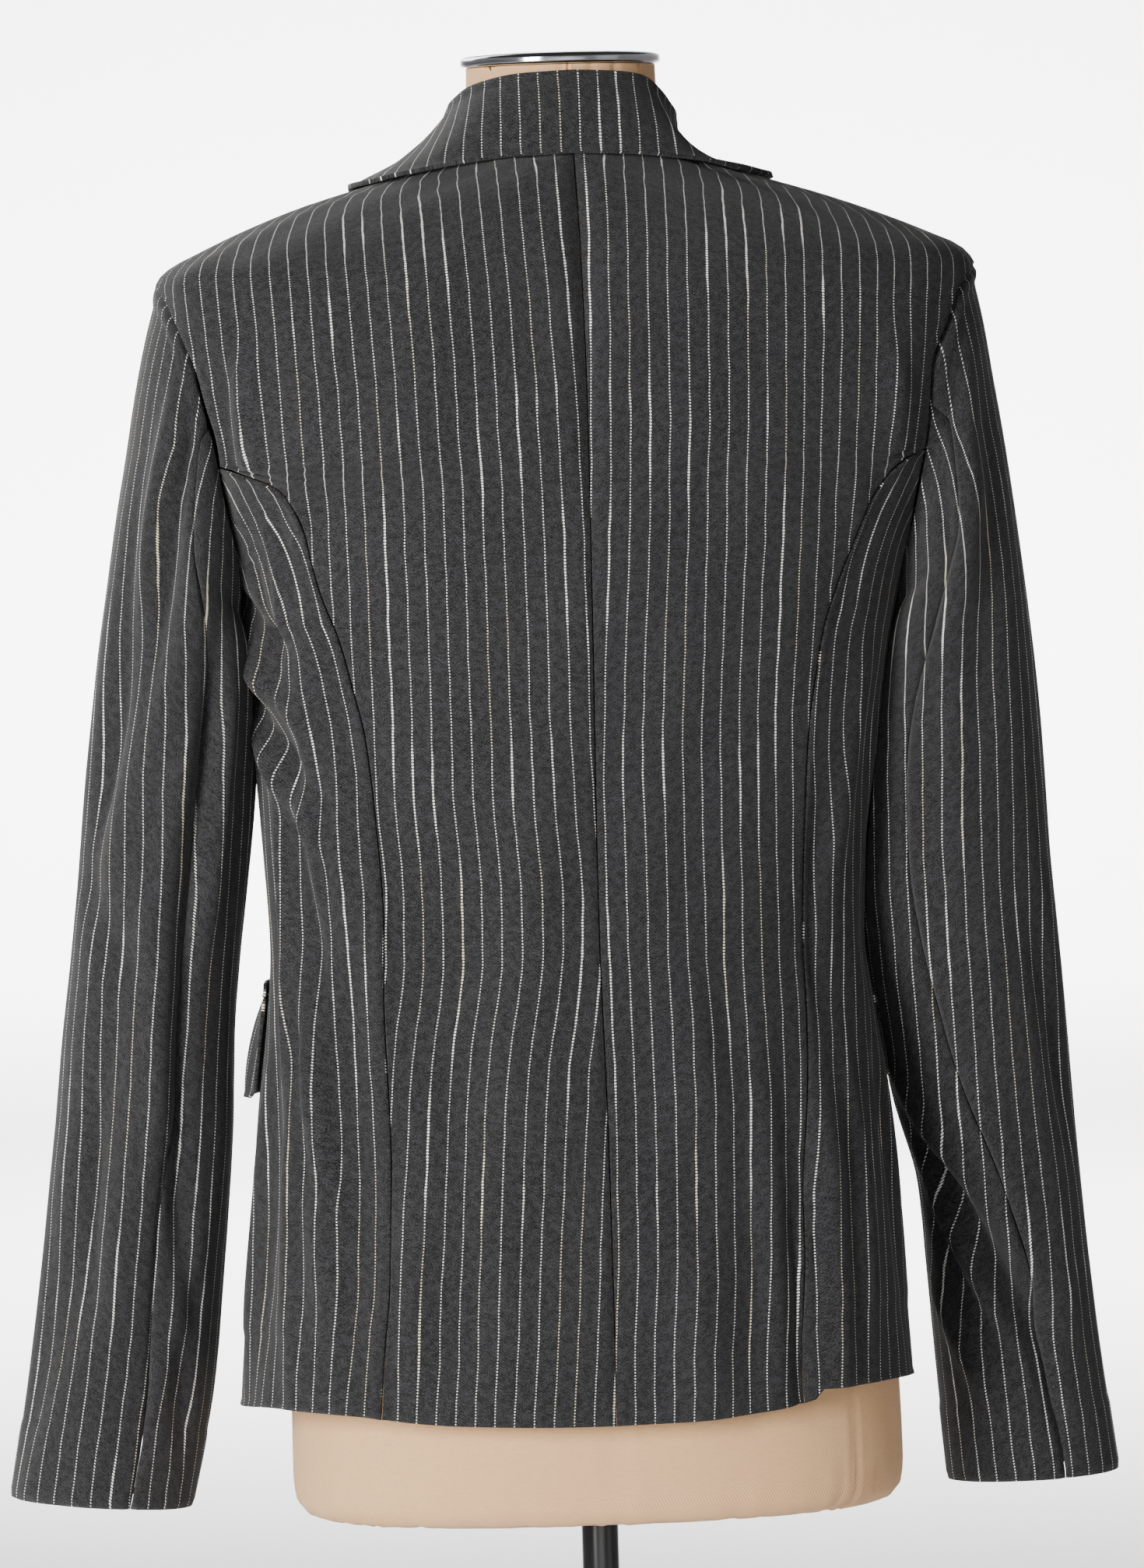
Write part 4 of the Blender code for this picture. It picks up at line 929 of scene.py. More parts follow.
def hem_relief(sheet):
    """The turned-up hem: thicker below its edge, with a soft kink along it."""
    foot = sheet.from_foot
    relief = TURN_UP * (1 - soft_steps(foot, 0.034, 0.039)) + ridge(foot, 0.0375, 0.0020, 0.0004)
    return relief + groove(foot, 0.0012, 0.0006)


def grain(rows, heights):
    return np.vectorize(lambda z: read_table(rows, z, 1))(heights)


def make_backs(context):
    settings = context.scene.blazer_cloth
    levels = finer(LEVELS, settings.detail)
    for side in (1, -1):

        def inner(height):
            return 0.0

        def outer(height):
            return back_edge(height, side)

        def high(s):
            return mix(NECK_BACK, NECK_SIDE, s)

        columns = round(0.135 / settings.detail)
        sheet = body_sheet(columns, levels, inner, outer, hem_between(inner, outer), high)
        sheet.push(body_relief(sheet), side)
        near, far = sheet.from_first, sheet.from_last
        relief = hem_relief(sheet) + groove(near, *SEAM_DIP) + groove(far, *SEAM_DIP)
        if side < 0:
            relief += ridge(near, 0.0024, 0.0021, 0.0006)
        relief += ridge(far, 0.0030, 0.0024, 0.0004) + groove(sheet.from_top, *TOP_DIP)
        sheet.push(relief, side)
        sheet.measure(0, len(levels) // 2)
        rows = GRAIN_BACK_LEFT if side > 0 else GRAIN_BACK_RIGHT
        sheet.across = ring_arcs(sheet.angles, sheet.heights) + grain(rows, sheet.heights)
        made = sheet_object("back_panel_" + side_name(side), sheet, cloth_material(), settings.thickness, side)
        finish_cloth(made, ["back_" + side_name(side)])


def make_sides(context):
    settings = context.scene.blazer_cloth
    for side in (1, -1):
        knots = [row[0] for row in ARMHOLE if row[0] <= SEAM_TOP]
        tops = [(z, armhole_angle(z, side, False)) for z in reversed(knots)]
        tops += [(z, armhole_angle(z, side, True)) for z in knots[1:] if z <= FRONT_SEAM_TOP]
        even = finer([z for z in LEVELS if z <= SIDE_SPLIT], settings.detail)
        climbing = round((SEAM_TOP - SIDE_SPLIT) / settings.detail)
        back_levels = even + [mix(SIDE_SPLIT, SEAM_TOP, (i + 1) / climbing) for i in range(climbing)]
        front_levels = even + [mix(SIDE_SPLIT, FRONT_SEAM_TOP, (i + 1) / climbing) for i in range(climbing)]
        low = hem_between(lambda z: back_edge(z, side), lambda z: side_edge(z, side))
        columns = 6 * (len(tops) - 1)

        def top_at(s):
            step = s * (len(tops) - 1)
            at = min(int(step), len(tops) - 2)
            return tuple(mix(a, b, step - at) for a, b in zip(tops[at], tops[at + 1]))

        def place(s, t):
            row = round(t * (len(back_levels) - 1))
            top_height, top_angle = top_at(s)
            back, front = row_height(back_levels[row], low(0.0)), row_height(front_levels[row], low(1.0))
            share = max((back - SIDE_SPLIT) / (SEAM_TOP - SIDE_SPLIT), 0.0)
            height = row_height(back_levels[row], low(s))
            if share > 0:
                height = mix(SIDE_SPLIT, top_height, share) - 0.0004 * share
            start, end = back_edge(back - 0.0001 * share, side), side_edge(front, side)
            across = mix(s, (top_angle - tops[0][1]) / (tops[-1][1] - tops[0][1]), share)
            angle = between(start, end, across, height)
            return body_point(angle, height), angle, height

        sheet = Sheet(columns, len(back_levels) - 1, place)
        sheet.push(body_relief(sheet), side)
        relief = hem_relief(sheet) + groove(sheet.from_first, *SIDE_SEAM_DIP) + groove(sheet.from_last, *SEAM_DIP)
        relief += groove(sheet.from_top, *TOP_DIP)
        sheet.push(relief, side)
        sheet.measure(0, 60)
        seam = np.vectorize(lambda z: abs(back_edge(min(z, GRAIN_SIDE_TOP), side)))(sheet.heights)
        sheet.across = ring_arcs(sheet.angles, sheet.heights) - ring_arcs(seam, sheet.heights)
        sheet.across += grain(GRAIN_SIDE, sheet.heights) + (0.0 if side > 0 else GRAIN_SIDE_RIGHT)
        made = sheet_object("side_panel_" + side_name(side), sheet, cloth_material(), settings.thickness, side)
        finish_cloth(made, ["side_" + side_name(side)])


def front_arcs(sheet, side):
    """How far round from the centre front each place lies. The right front's angles run on past 180."""
    angles = np.where(sheet.angles * side < 0, sheet.angles + 360 * side, sheet.angles)
    whole = ring_arcs(np.full_like(angles, 180.0 * side), sheet.heights)
    past = whole + (np.abs(angles) - 180) * 0.0018
    return np.where(np.abs(angles) <= 180, ring_arcs(angles, sheet.heights), past) - whole


def front_lift(angle, side):
    return LAP_LIFT * soft_step(abs(angle), 148, 168) if side < 0 else 0.0


def make_fronts(context):
    settings = context.scene.blazer_cloth
    levels = finer(LEVELS, settings.detail)
    for side in (1, -1):

        def inner(height):
            return side_edge(height, side)

        def outer(height):
            return front_edge(height, side)

        def low(s):
            hem = table(HEM, wrapped(mix(inner(HEM_BACK), outer(HEM_BACK), s)))
            from_edge = (1 - s) * abs(outer(HEM_BACK) - inner(HEM_BACK)) * math.radians(FOLD_RADIUS)
            inside = max(FRONT_CORNER - from_edge, 0.0)
            return hem + FRONT_CORNER - math.sqrt(FRONT_CORNER**2 - inside**2 * 0.96)

        sheet = body_sheet(
            round(0.17 / settings.detail), levels, inner, outer, low, lambda s: NECK_SIDE,
            out=lambda angle, height: front_lift(angle, side),
        )
        sheet.push(body_relief(sheet), side)
        dart = np.exp(-(((np.abs(sheet.angles) - 147.0) / 0.45) ** 2)) * soft_steps(sheet.heights, 1.02, 1.04)
        dart *= 1 - soft_steps(sheet.heights, 1.19, 1.21)
        relief = hem_relief(sheet) + groove(sheet.from_first, *SEAM_DIP) - 0.0009 * dart
        relief += ridge(sheet.from_last, 0.0, 0.0080, 0.0005) + groove(sheet.from_last, 0.0012, 0.0008)
        sheet.push(relief, side)
        sheet.measure(sheet.angles.shape[1] - 1, len(levels) // 2)
        sheet.across = front_arcs(sheet, side)
        made = sheet_object("front_panel_" + side_name(side), sheet, cloth_material(), settings.thickness, side)
        finish_cloth(made, ["front_" + side_name(side)])


def make_lapels(context):
    for side in (1, -1):
        start = LAPEL_START[side < 0]

        def place(s, t):
            rise = mix(start, LAPEL_END, t)
            height = mix(BREAK_POINT, NECK_SIDE, rise)
            near = front_edge_x(height)
            far = near + table(LAPEL_WIDTH, rise)
            if side > 0:
                near = max(near, 0.0022 - front_edge_x(height))
            height += GORGE_RISE * (1 - s) * soft_step(rise, 0.5, LAPEL_END)
            near = mix(near, max(front_edge_x(height), near), soft_step(t, 0.3, 0.6) if side > 0 else t)
            x = mix(near, max(far, near + 0.0015), s)
            angle = front_x_angle(x, height, side)
            roll = 1 - (1 - min(s / 0.12, 1.0)) ** 2
            lift = (PLY + 0.0006) * mix(0.15, 1.0, roll) + 0.0022 * math.sin(math.pi * s) * soft_step(t, 0.0, 0.4)
            return body_point(angle, height, lift + front_lift(angle, side)), wrapped(angle), height

        sheet = Sheet(34, 110, place)
        sheet.push(body_relief(sheet) + groove(sheet.from_last, *EDGE_DIP), -side)
        sheet.measure(34, 60)
        made = sheet_object("lapel_fold_" + side_name(side), sheet, cloth_material(), LAPEL_PLY, -side)
        finish_cloth(made, ["lapel_" + side_name(side)])


# ---------------------------------------------------------------- sleeves


def body_reach(y, height, side):
    if height > ARMPIT + 0.004:
        return 0.0
    deep = table(BODY_RINGS, height, 3 if y >= 0 else 4)
    half = table(BODY_RINGS, height, 1 if side > 0 else 2)
    power = table(BODY_RINGS, height, 5)
    return half * (1 - min(abs(y) / deep, 1.0) ** power) ** (1 / power)


def sleeve_point(knot, angle, share, side, numbered):
    """A place on a sleeve, from the armhole's edge along an angle to the share of the way down."""
    step = share * len(numbered)
    outer, outer_z, inner, inner_z, middle, half = (table(numbered, step, column) for column in range(1, 7))
    turn = math.radians(angle)
    height = mix(inner_z, outer_z, (1 + math.cos(turn)) / 2)
    x = mix(inner, outer, (1 + math.cos(turn)) / 2)
    y = middle + half * math.sin(turn)
    reach = body_reach(y, height, side)
    if reach:
        x = max(x, reach + SLEEVE_CLEAR)
    if step < 1:
        front = math.sin(turn) < -1e-6
        ax, ay, az = ring_point(BODY_RINGS, armhole_angle(knot, side, front), knot)
        x, y, height = mix(abs(ax) + ARMHOLE_GAP, x, step), mix(ay, y, step), mix(az, height, step)
    return (x * side, y, height)


def sleeve_arcs(sheet, rows, turned):
    """How far round the sleeve each place lies from its outermost line, measured level."""
    down = np.array(rows)[::-1]
    x, y, z = (sheet.points[..., axis] for axis in range(3))
    level = (down[:, 1] + down[:, 3]) / 2
    outer, inner = np.interp(z, down[:, 1], down[:, 0]), np.interp(z, down[:, 3], down[:, 2])
    middle, half = np.interp(z, level, down[:, 4]), np.interp(z, level, down[:, 5])
    wide = (outer - inner) / 2
    angles = np.arctan2((y - middle) / half, (np.abs(x) - (outer + inner) / 2) / wide)
    if turned:
        angles = np.where(angles < 0, angles + 2 * math.pi, angles)
    turn = angles[..., None] * (np.arange(48) + 0.5) / 48
    return np.hypot(wide[..., None] * np.sin(turn), half[..., None] * np.cos(turn)).sum(axis=-1) * angles / 48


def make_sleeves(context):
    settings = context.scene.blazer_cloth
    heights = [row[0] for row in ARMHOLE]
    middle, half = (SHOULDER_TIP + ARMPIT) / 2, (SHOULDER_TIP - ARMPIT) / 2

    def knot_angle(height, front):
        turn = math.degrees(math.acos(max(-1.0, min(1.0, (height - middle) / half))))
        return -turn if front else turn

    front = [(z, knot_angle(z, True)) for z in heights]
    back = [(z, knot_angle(z, False)) for z in reversed(heights)]
    upper = [k for k in front if k[0] >= FRONT_SEAM_KNOT] + [k for k in back[1:] if k[0] >= BACK_SEAM_KNOT]
    under = [k for k in back if k[0] <= BACK_SEAM_KNOT]
    under += [(z, turn + 360) for z, turn in front[1:] if z <= FRONT_SEAM_KNOT]
    gap = math.degrees(SEAM / SLEEVE_FOLD_RADIUS)

    for side in (1, -1):
        rows = SLEEVE_LEFT if side > 0 else SLEEVE_RIGHT
        seam = SLEEVE_SEAM_LEFT if side > 0 else SLEEVE_SEAM_RIGHT
        numbered = tuple((i + 1.0, *row) for i, row in enumerate(rows))
        down_rows = tuple((i / len(rows), row[1]) for i, row in enumerate(rows))
        folds, creases = (FOLDS_LEFT, CREASES_LEFT) if side > 0 else (FOLDS_RIGHT, CREASES_RIGHT)
        for part, knots, width, rope in (("upper", upper, 0.20, 0.0010), ("under", under, 0.13, 0.0004)):

            def place(s, t):
                share = t * t * 0.25 + t * 0.75
                step = s * (len(knots) - 1)
                at = min(int(step), len(knots) - 2)
                knot, start_angle = (mix(a, b, step - at) for a, b in zip(knots[at], knots[at + 1]))
                back_seam = table(seam, table(down_rows, share))
                if part == "upper":
                    even = mix(SLEEVE_FRONT_SEAM + gap, back_seam - gap, s)
                else:
                    even = mix(back_seam + gap, 360 + SLEEVE_FRONT_SEAM - gap, s)
                angle = mix(start_angle, even, soft_step(share, 0.0, 0.30))
                point = sleeve_point(knot, angle, share, side, numbered)
                return point, wrapped(angle), point[2]

            sheet = Sheet(round(width / settings.detail), round(0.64 / settings.detail), place)
            arcs = sleeve_arcs(sheet, rows, part == "under")
            near_body = soft_steps(-np.cos(np.radians(sheet.angles)), 0.55, 0.95)
            near_body *= soft_steps(sheet.heights, 0.98, 1.04)
            relief = fold_heights(folds, sheet.angles, sheet.heights, SLEEVE_FOLD_RADIUS)
            relief += fold_heights(creases, sheet.angles, sheet.heights, SLEEVE_FOLD_RADIUS) * CREASE_STRENGTH
            relief += ripple(np.radians(sheet.angles) * SLEEVE_FOLD_RADIUS, sheet.heights, 51 + side, SLEEVE_RIPPLE)
            relief *= (1 - near_body) * soft_steps(sheet.from_foot, 0.004, 0.030)
            sheet.push(relief, -side)
            head, cuff = sheet.from_foot, sheet.from_top
            relief = groove(head, 0.0016, 0.0014) + ridge(head, 0.0055, 0.0036, rope)
            relief += groove(sheet.from_first, *SLEEVE_SEAM_DIP) + groove(sheet.from_last, *SLEEVE_SEAM_DIP)
            relief += TURN_UP * (1 - soft_steps(cuff, 0.036, 0.041)) + groove(cuff, *EDGE_DIP)
            sheet.push(relief, -side)
            sheet.measure(0, 50)
            sheet.across = arcs
            name = f"sleeve_{part}_{side_name(side)}"
            made = sheet_object(name + "_cloth", sheet, cloth_material(), settings.thickness, -side)
            finish_cloth(made, [name])


# ---------------------------------------------------------------- collar, pockets, button


def collar_row(along):
    """The collar's measures at a place along it. On the right it lies lower round the neck."""
    roll_angle, roll_reach, roll_z, edge_angle, edge_reach, edge_z, bow = (
        table(COLLAR, abs(along), column) for column in range(1, 8)
    )
    if along < 0:
        drop = COLLAR_RIGHT_DROP * soft_step(-along, 0.22, 0.46) * (1 - soft_step(-along, 0.66, 0.92))
        roll_z, bow = roll_z - drop, bow - drop * 0.5
    return roll_angle, roll_reach, roll_z, edge_angle, edge_reach, edge_z, bow


def collar_point(along, share):
    roll_angle, roll_reach, roll_z, edge_angle, edge_reach, edge_z, bow = collar_row(along)
    turn = math.radians(mix(roll_angle, edge_angle, share))
    bulge = (bow if along > 0 else min(bow, 0.0) * 1.8 + max(bow, 0.0)) * math.sin(math.pi * share)
    reach = mix(roll_reach, edge_reach, share) + bulge * 0.7
    height = mix(roll_z, edge_z, share) + bulge * 0.7
    x, y = reach * math.sin(turn), reach * math.cos(turn)
    side = 1 if along >= 0 else -1
    clear = COLLAR_CLEAR + 0.0052 * soft_step(y, 0.01, -0.02)
    half = read_table(BODY_RINGS, height, 1 if side > 0 else 2) + clear
    deep = read_table(BODY_RINGS, height, 3 if y >= 0 else 4) + clear
    power = read_table(BODY_RINGS, height, 5)
    inside = ((x / half) ** power + (abs(y) / deep) ** power) ** (1 / power)
    grow = 1 / inside if inside < 1 and height < NECK_SIDE + 0.004 else 1.0
    return (side * x * grow, y * grow, height)


def make_collar(context):
    settings = context.scene.blazer_cloth

    def fall(s, t):
        along = 2 * s - 1
        point = collar_point(along, 1 - t)
        return point, along * 140, point[2]

    def stand(s, t):
        along = STAND_END * (2 * s - 1)
        roll_angle, near, high = collar_row(along)[:3]
        turn = math.radians(math.copysign(roll_angle, along))
        reach = mix(STAND_FOOT_REACH, near - 0.0026, t)
        height = mix(STAND_FOOT, high - 0.0008, t)
        return (reach * math.sin(turn), reach * math.cos(turn), height), along * 140, height

    sheet = Sheet(150, 24, fall)
    edge = sheet.outer_edge()
    relief = groove(edge, 0.0014, 0.0009) + ridge(edge, 0.0050, 0.0034, 0.0003)
    relief += ripple(sheet.across, sheet.along, 61, 0.0004) - 0.0022 * (1 - soft_steps(sheet.from_top, 0.0, 0.0045))
    sheet.push(relief, 1)
    sheet.measure(75, 12)
    made = sheet_object("collar_top", sheet, cloth_material(), COLLAR_PLY, 1, COLLAR_GRAIN)
    finish_cloth(made, ["collar_fall"])

    sheet = Sheet(110, 12, stand)
    sheet.measure(55, 6)
    made = sheet_object("collar_inner", sheet, cloth_material(), settings.thickness, 1, COLLAR_GRAIN)
    finish_cloth(made, ["collar_stand"])


def make_pockets(context):
    for side in (1, -1):
        (start, end), swing = POCKET_ANGLES[side < 0], FLAP_SWING[side < 0]

        def flap(s, t):
            angle = side * mix(start, end, s)
            corner = 0.004 * (soft_step(s, 0.10, 0.0) + soft_step(s, 0.90, 1.0)) * soft_step(t, 0.5, 0.0)
            height = mix(POCKET_TOP - FLAP_HEIGHT + corner, POCKET_TOP - 0.0004, t)
            bulge = (1 - t**3 - 0.2 * (1 - t) ** 5) * mix(0.1, 1.0, soft_step(s, 0.0, 0.2))
            lift = PLY + 0.0003 + swing * bulge
            return body_point(angle, height, lift), angle, height

        def welt(s, t):
            angle = side * mix(start - 0.5, end + 0.5, s)
            height = POCKET_TOP + 0.0004 + WELT_HEIGHT * t
            return body_point(angle, height, PLY + 0.0005), angle, height

        def pocket_piece(name, place, rows):
            sheet = Sheet(44, rows, place)
            sheet.push(body_relief(sheet) + groove(sheet.outer_edge(), *FLAP_DIP), side)
            sheet.measure(22, rows // 2)
            sheet.across = front_arcs(sheet, side)
            return sheet_object(f"{name}_cloth_{side_name(side)}", sheet, cloth_material(), FLAP_PLY, side), sheet

        welt_made, _ = pocket_piece("pocket_welt", welt, 5)
        seat(welt_made, "charcoal_twill", "pocket_welt_" + side_name(side))
        made, sheet = pocket_piece("pocket_flap", flap, 16)
        finish_cloth(made, ["pocket_flap_" + side_name(side)])


def revolve(name, profile, material, steps):
    """A turned piece from (radius, height) pairs that run from the axis to the axis."""
    shape = bmesh.new()
    verts = [shape.verts.new((r, 0.0, z)) for r, z in profile]
    edges = [shape.edges.new(pair) for pair in zip(verts, verts[1:])]
    bmesh.ops.spin(
        shape, geom=verts + edges, cent=(0, 0, 0), axis=(0, 0, 1), angle=math.tau, steps=steps, use_duplicate=False
    )
    bmesh.ops.remove_doubles(shape, verts=shape.verts, dist=1e-6)
    bmesh.ops.recalc_face_normals(shape, faces=shape.faces)
    mesh = mesh_from(shape, name, material)
    mesh.shade_smooth()
    mesh.set_sharp_from_angle(angle=math.radians(40))
    return linked(name, mesh)


def rounded(profile, radius, parts=5):
    """The profile with every inner corner rounded."""
    made = [profile[0]]
    for before, corner, after in zip(profile, profile[1:], profile[2:]):
        a, c, b = Vector(before), Vector(corner), Vector(after)
        reach = min(radius, (a - c).length * 0.45, (b - c).length * 0.45)
        p, q = c + (a - c).normalized() * reach, c + (b - c).normalized() * reach
        for i in range(parts + 1):
            t = i / parts
            made.append(tuple(p * (1 - t) ** 2 + c * 2 * t * (1 - t) + q * t * t))
    return made + [profile[-1]]


def make_button(context):
    rim, top, dish = 0.0115, 0.0034, 0.0022
    profile = [(0.0, dish), (0.0068, dish), (0.008, top), (0.0104, top), (rim, 0.0018), (0.01, 0.0), (0.0, 0.0)]
    gloss = hard_material("button_gloss", (0.015, 0.015, 0.016), 0.22, coat=0.3)
    button = revolve("button", rounded(profile, 0.0008), gloss, 56)
    height = BREAK_POINT - 0.030
    lean = (table(BODY_RINGS, height + 0.01, 4) - table(BODY_RINGS, height - 0.01, 4)) / 0.02
    place = Matrix.Translation(ring_point(BODY_RINGS, 180, height, LAP_LIFT + 0.0020))
    place @= Matrix.Rotation(math.radians(90) + math.atan(lean), 4, "X")
    button.data.transform(place)
    seat(button, "button_black", "button_front")
    thread = hard_material("button_thread_black", (0.02, 0.02, 0.022), 0.8)
    for number, x in enumerate((-0.0013, 0.0013), 1):
        shape = bmesh.new()
        bmesh.ops.create_uvsphere(shape, u_segments=12, v_segments=8, radius=0.00055)
        for vertex in shape.verts:
            vertex.co.y *= 3.4
            vertex.co += Vector((x, 0.0, dish + 0.0002))
        mesh = mesh_from(shape, "thread", thread)
        mesh.shade_smooth()
        mesh.transform(place)
        linked(f"button_stitch_{number}", mesh).parent = button


# ---------------------------------------------------------------- dress form and stand


def make_form(context):
    heights = finer([row[0] for row in FORM_RINGS], 0.006)

    def place(s, t):
        height = heights[round(t * (len(heights) - 1))]
        angle = s * 360 - 180
        return ring_point(FORM_RINGS, angle, height), angle, height

    sheet = Sheet(220, len(heights) - 1, place)
    relief = np.zeros_like(sheet.angles)
    for angle in (52.0, -51.0, 0.0, 128.0, -128.0, 180.0, -180.0):
        distance = (sheet.angles - angle) * math.radians(FORM_RADIUS)
        relief += groove(distance, 0.0012, 0.0012) + ridge(np.abs(distance), 0.0032, 0.0020, 0.0003)
    foot = sheet.heights - FORM_RINGS[0][0]
    for number in range(46):
        angle = -178 + number * 7.8 + 2.2 * math.sin(number * 1.7)
        depth = 0.0005 + 0.0004 * math.sin(number * 2.3)
        distance = (sheet.angles - angle) * math.radians(FORM_RADIUS)
        relief -= depth * np.exp(-((distance / 0.003) ** 2)) * (1 - soft_steps(foot, 0.008, 0.034))
    neck = soft_steps(sheet.heights, 1.462, 1.494)
    for angle in (-30.0, -14.0, 4.0, 22.0, 150.0, -150.0):
        relief -= 0.0010 * neck * np.exp(-(((sheet.angles - angle) * math.radians(NECK_RADIUS) / 0.0022) ** 2))
    sheet.push(relief, -1)
    made = sheet_object("form_canvas_cover", sheet, canvas_material(context.scene.blazer_form), 0.0, -1)
    made.modifiers.clear()
    shape = bmesh.new()
    shape.from_mesh(made.data)
    bmesh.ops.remove_doubles(shape, verts=shape.verts, dist=1e-6)
    bmesh.ops.holes_fill(shape, edges=shape.edges, sides=0)
    bmesh.ops.recalc_face_normals(shape, faces=shape.faces)
    shape.to_mesh(made.data)
    shape.free()
    made.data.shade_smooth()
    made.data.set_sharp_from_angle(angle=math.radians(60))
    seat(made, "form_canvas", "form_body")


def make_stand(context):
    chrome = hard_material("neck_cap_polished", (0.52, 0.52, 0.54), 0.08, metallic=1.0)
    black = hard_material("stand_gloss_black", (0.010, 0.010, 0.011), 0.14, coat=0.6)
    low, high, radius = CAP_FOOT, CAP_TOP, context.scene.blazer_form.pole_radius
    cap = [
        (0.0, high + 0.0015), (0.030, high + 0.0012), (0.0485, high), (0.0514, high - 0.0012),
        (0.0514, low + 0.0010), (0.0500, low), (0.0, low),
    ]
    foot = [
        (0.0, 0.030), (0.021, 0.030), (0.024, 0.027), (0.024, 0.0135),
        (0.150, 0.012), (0.165, 0.009), (0.165, 0.0), (0.0, 0.0),
    ]
    pole = [(0.0, POLE_TOP), (radius, POLE_TOP), (radius, POLE_FOOT), (0.0, POLE_FOOT)]
    for name, profile, corner, material, steps, slot, node in (
        ("neck_cap_disc", cap, 0.0018, chrome, 96, "neck_cap_chrome", "neck_cap"),
        ("stand_foot", foot, 0.004, black, 128, "stand_black", "base"),
        ("stand_pole", pole, 0.0006, black, 64, "stand_black", "pole"),
    ):
        seat(revolve(name, rounded(profile, corner), material, steps), slot, node)


# ---------------------------------------------------------------- stage


def add_light(name, place, aim, size, power, tint=(1.0, 1.0, 1.0), spread=180.0):
    data = bpy.data.lights.new(name, "AREA")
    data.shape = "RECTANGLE"
    data.size, data.size_y = size
    data.energy = power
    data.color = tint
    data.spread = math.radians(spread)
    made = linked(name, data)
    made.location = place
    made.rotation_euler = (Vector(aim) - Vector(place)).to_track_quat("-Z", "Y").to_euler()


def make_paper(settings):
    """A round pale floor that curves up to a wall all round, wider than any view's camera stands."""
    floor, bend, top, parts = settings.floor_radius, 4.0, 12.0, 96
    turns = [math.radians(7.5 * i) for i in range(1, 13)]
    profile = [(floor, 0.0)]
    profile += [(floor + bend * math.sin(turn), bend - bend * math.cos(turn)) for turn in turns]
    profile.append((floor + bend, top))
    shape = bmesh.new()
    rings = []
    for reach, height in profile:
        around = (math.radians(360 / parts * k) for k in range(parts))
        rings.append([shape.verts.new((reach * math.cos(a), reach * math.sin(a), height)) for a in around])
    shape.faces.new(rings[0])
    for low, high in zip(rings, rings[1:]):
        for k in range(parts):
            n = (k + 1) % parts
            shape.faces.new((low[k], high[k], high[n], low[n])).smooth = True
    pale = Wiring("pale_floor")
    pale.set(Base_Color=colour(settings.paper_colour), Roughness=0.9)
    linked("pale_floor", mesh_from(shape, "pale_floor", pale.material))


def make_stage(context):
    settings = context.scene.blazer_stage
    world = context.scene.world = bpy.data.worlds.new("studio")
    world.use_nodes = True
    even = world.node_tree.nodes["Background"]
    even.inputs["Color"].default_value = colour((1.0, 1.0, 1.0))
    even.inputs["Strength"].default_value = settings.ambient
    make_paper(settings)

    paper, key, chest = settings.paper_power, settings.key_power, (0.0, 0.0, 1.1)
    add_light("paper", (-1.0, -12.5, 8.0), (-1.6, -17.0, 0.5), (8.0, 2.0), paper, spread=80.0)
    add_light("paper_floor", (-1.0, -8.5, 8.0), (-1.2, -9.5, 0.0), (6.0, 2.0), paper * 0.6, spread=76.0)
    add_light("paper_front", (0.0, 12.5, 8.0), (0.0, 17.0, 0.5), (9.0, 2.0), paper * 0.2, spread=80.0)
    add_light("key", (2.0, 2.6, 1.7), chest, (1.0, 1.6), key, (1.0, 0.985, 0.96))
    add_light("fill", (-3.2, 2.6, 1.6), chest, (2.0, 2.4), key * 0.03, (0.95, 0.97, 1.0))
    add_light("front", (1.5, -2.4, 2.8), chest, (2.4, 2.0), key * 0.45)
    add_camera(settings)


def add_camera(settings):
    """The photograph's camera: straight behind, a little to the wearer's left and slightly above."""
    swing, dip, roll = (math.radians(v) for v in (settings.swing, settings.dip, settings.roll))
    place = Vector((settings.distance * math.sin(swing), settings.distance * math.cos(swing), settings.height))
    ahead = Vector((-math.sin(swing) * math.cos(dip), -math.cos(swing) * math.cos(dip), -math.sin(dip)))
    right = ahead.cross(Vector((0, 0, 1))).normalized()
    up = right.cross(ahead)
    across = right * math.cos(roll) - up * math.sin(roll)
    upright = right * math.sin(roll) + up * math.cos(roll)
    matrix = Matrix((across, upright, -ahead)).transposed().to_4x4()
    matrix.translation = place
    data = bpy.data.cameras.new("photo_camera")
    data.sensor_fit = "AUTO"
    data.sensor_width = 36.0
    data.lens = settings.lens
    data.shift_x = -10 / 2014  # the photo's own middle lies 10 of its 2014 pixels to the side
    camera = linked("photo_camera", data)
    camera.matrix_world = matrix
    bpy.context.scene.camera = camera


# ---------------------------------------------------------------- settings


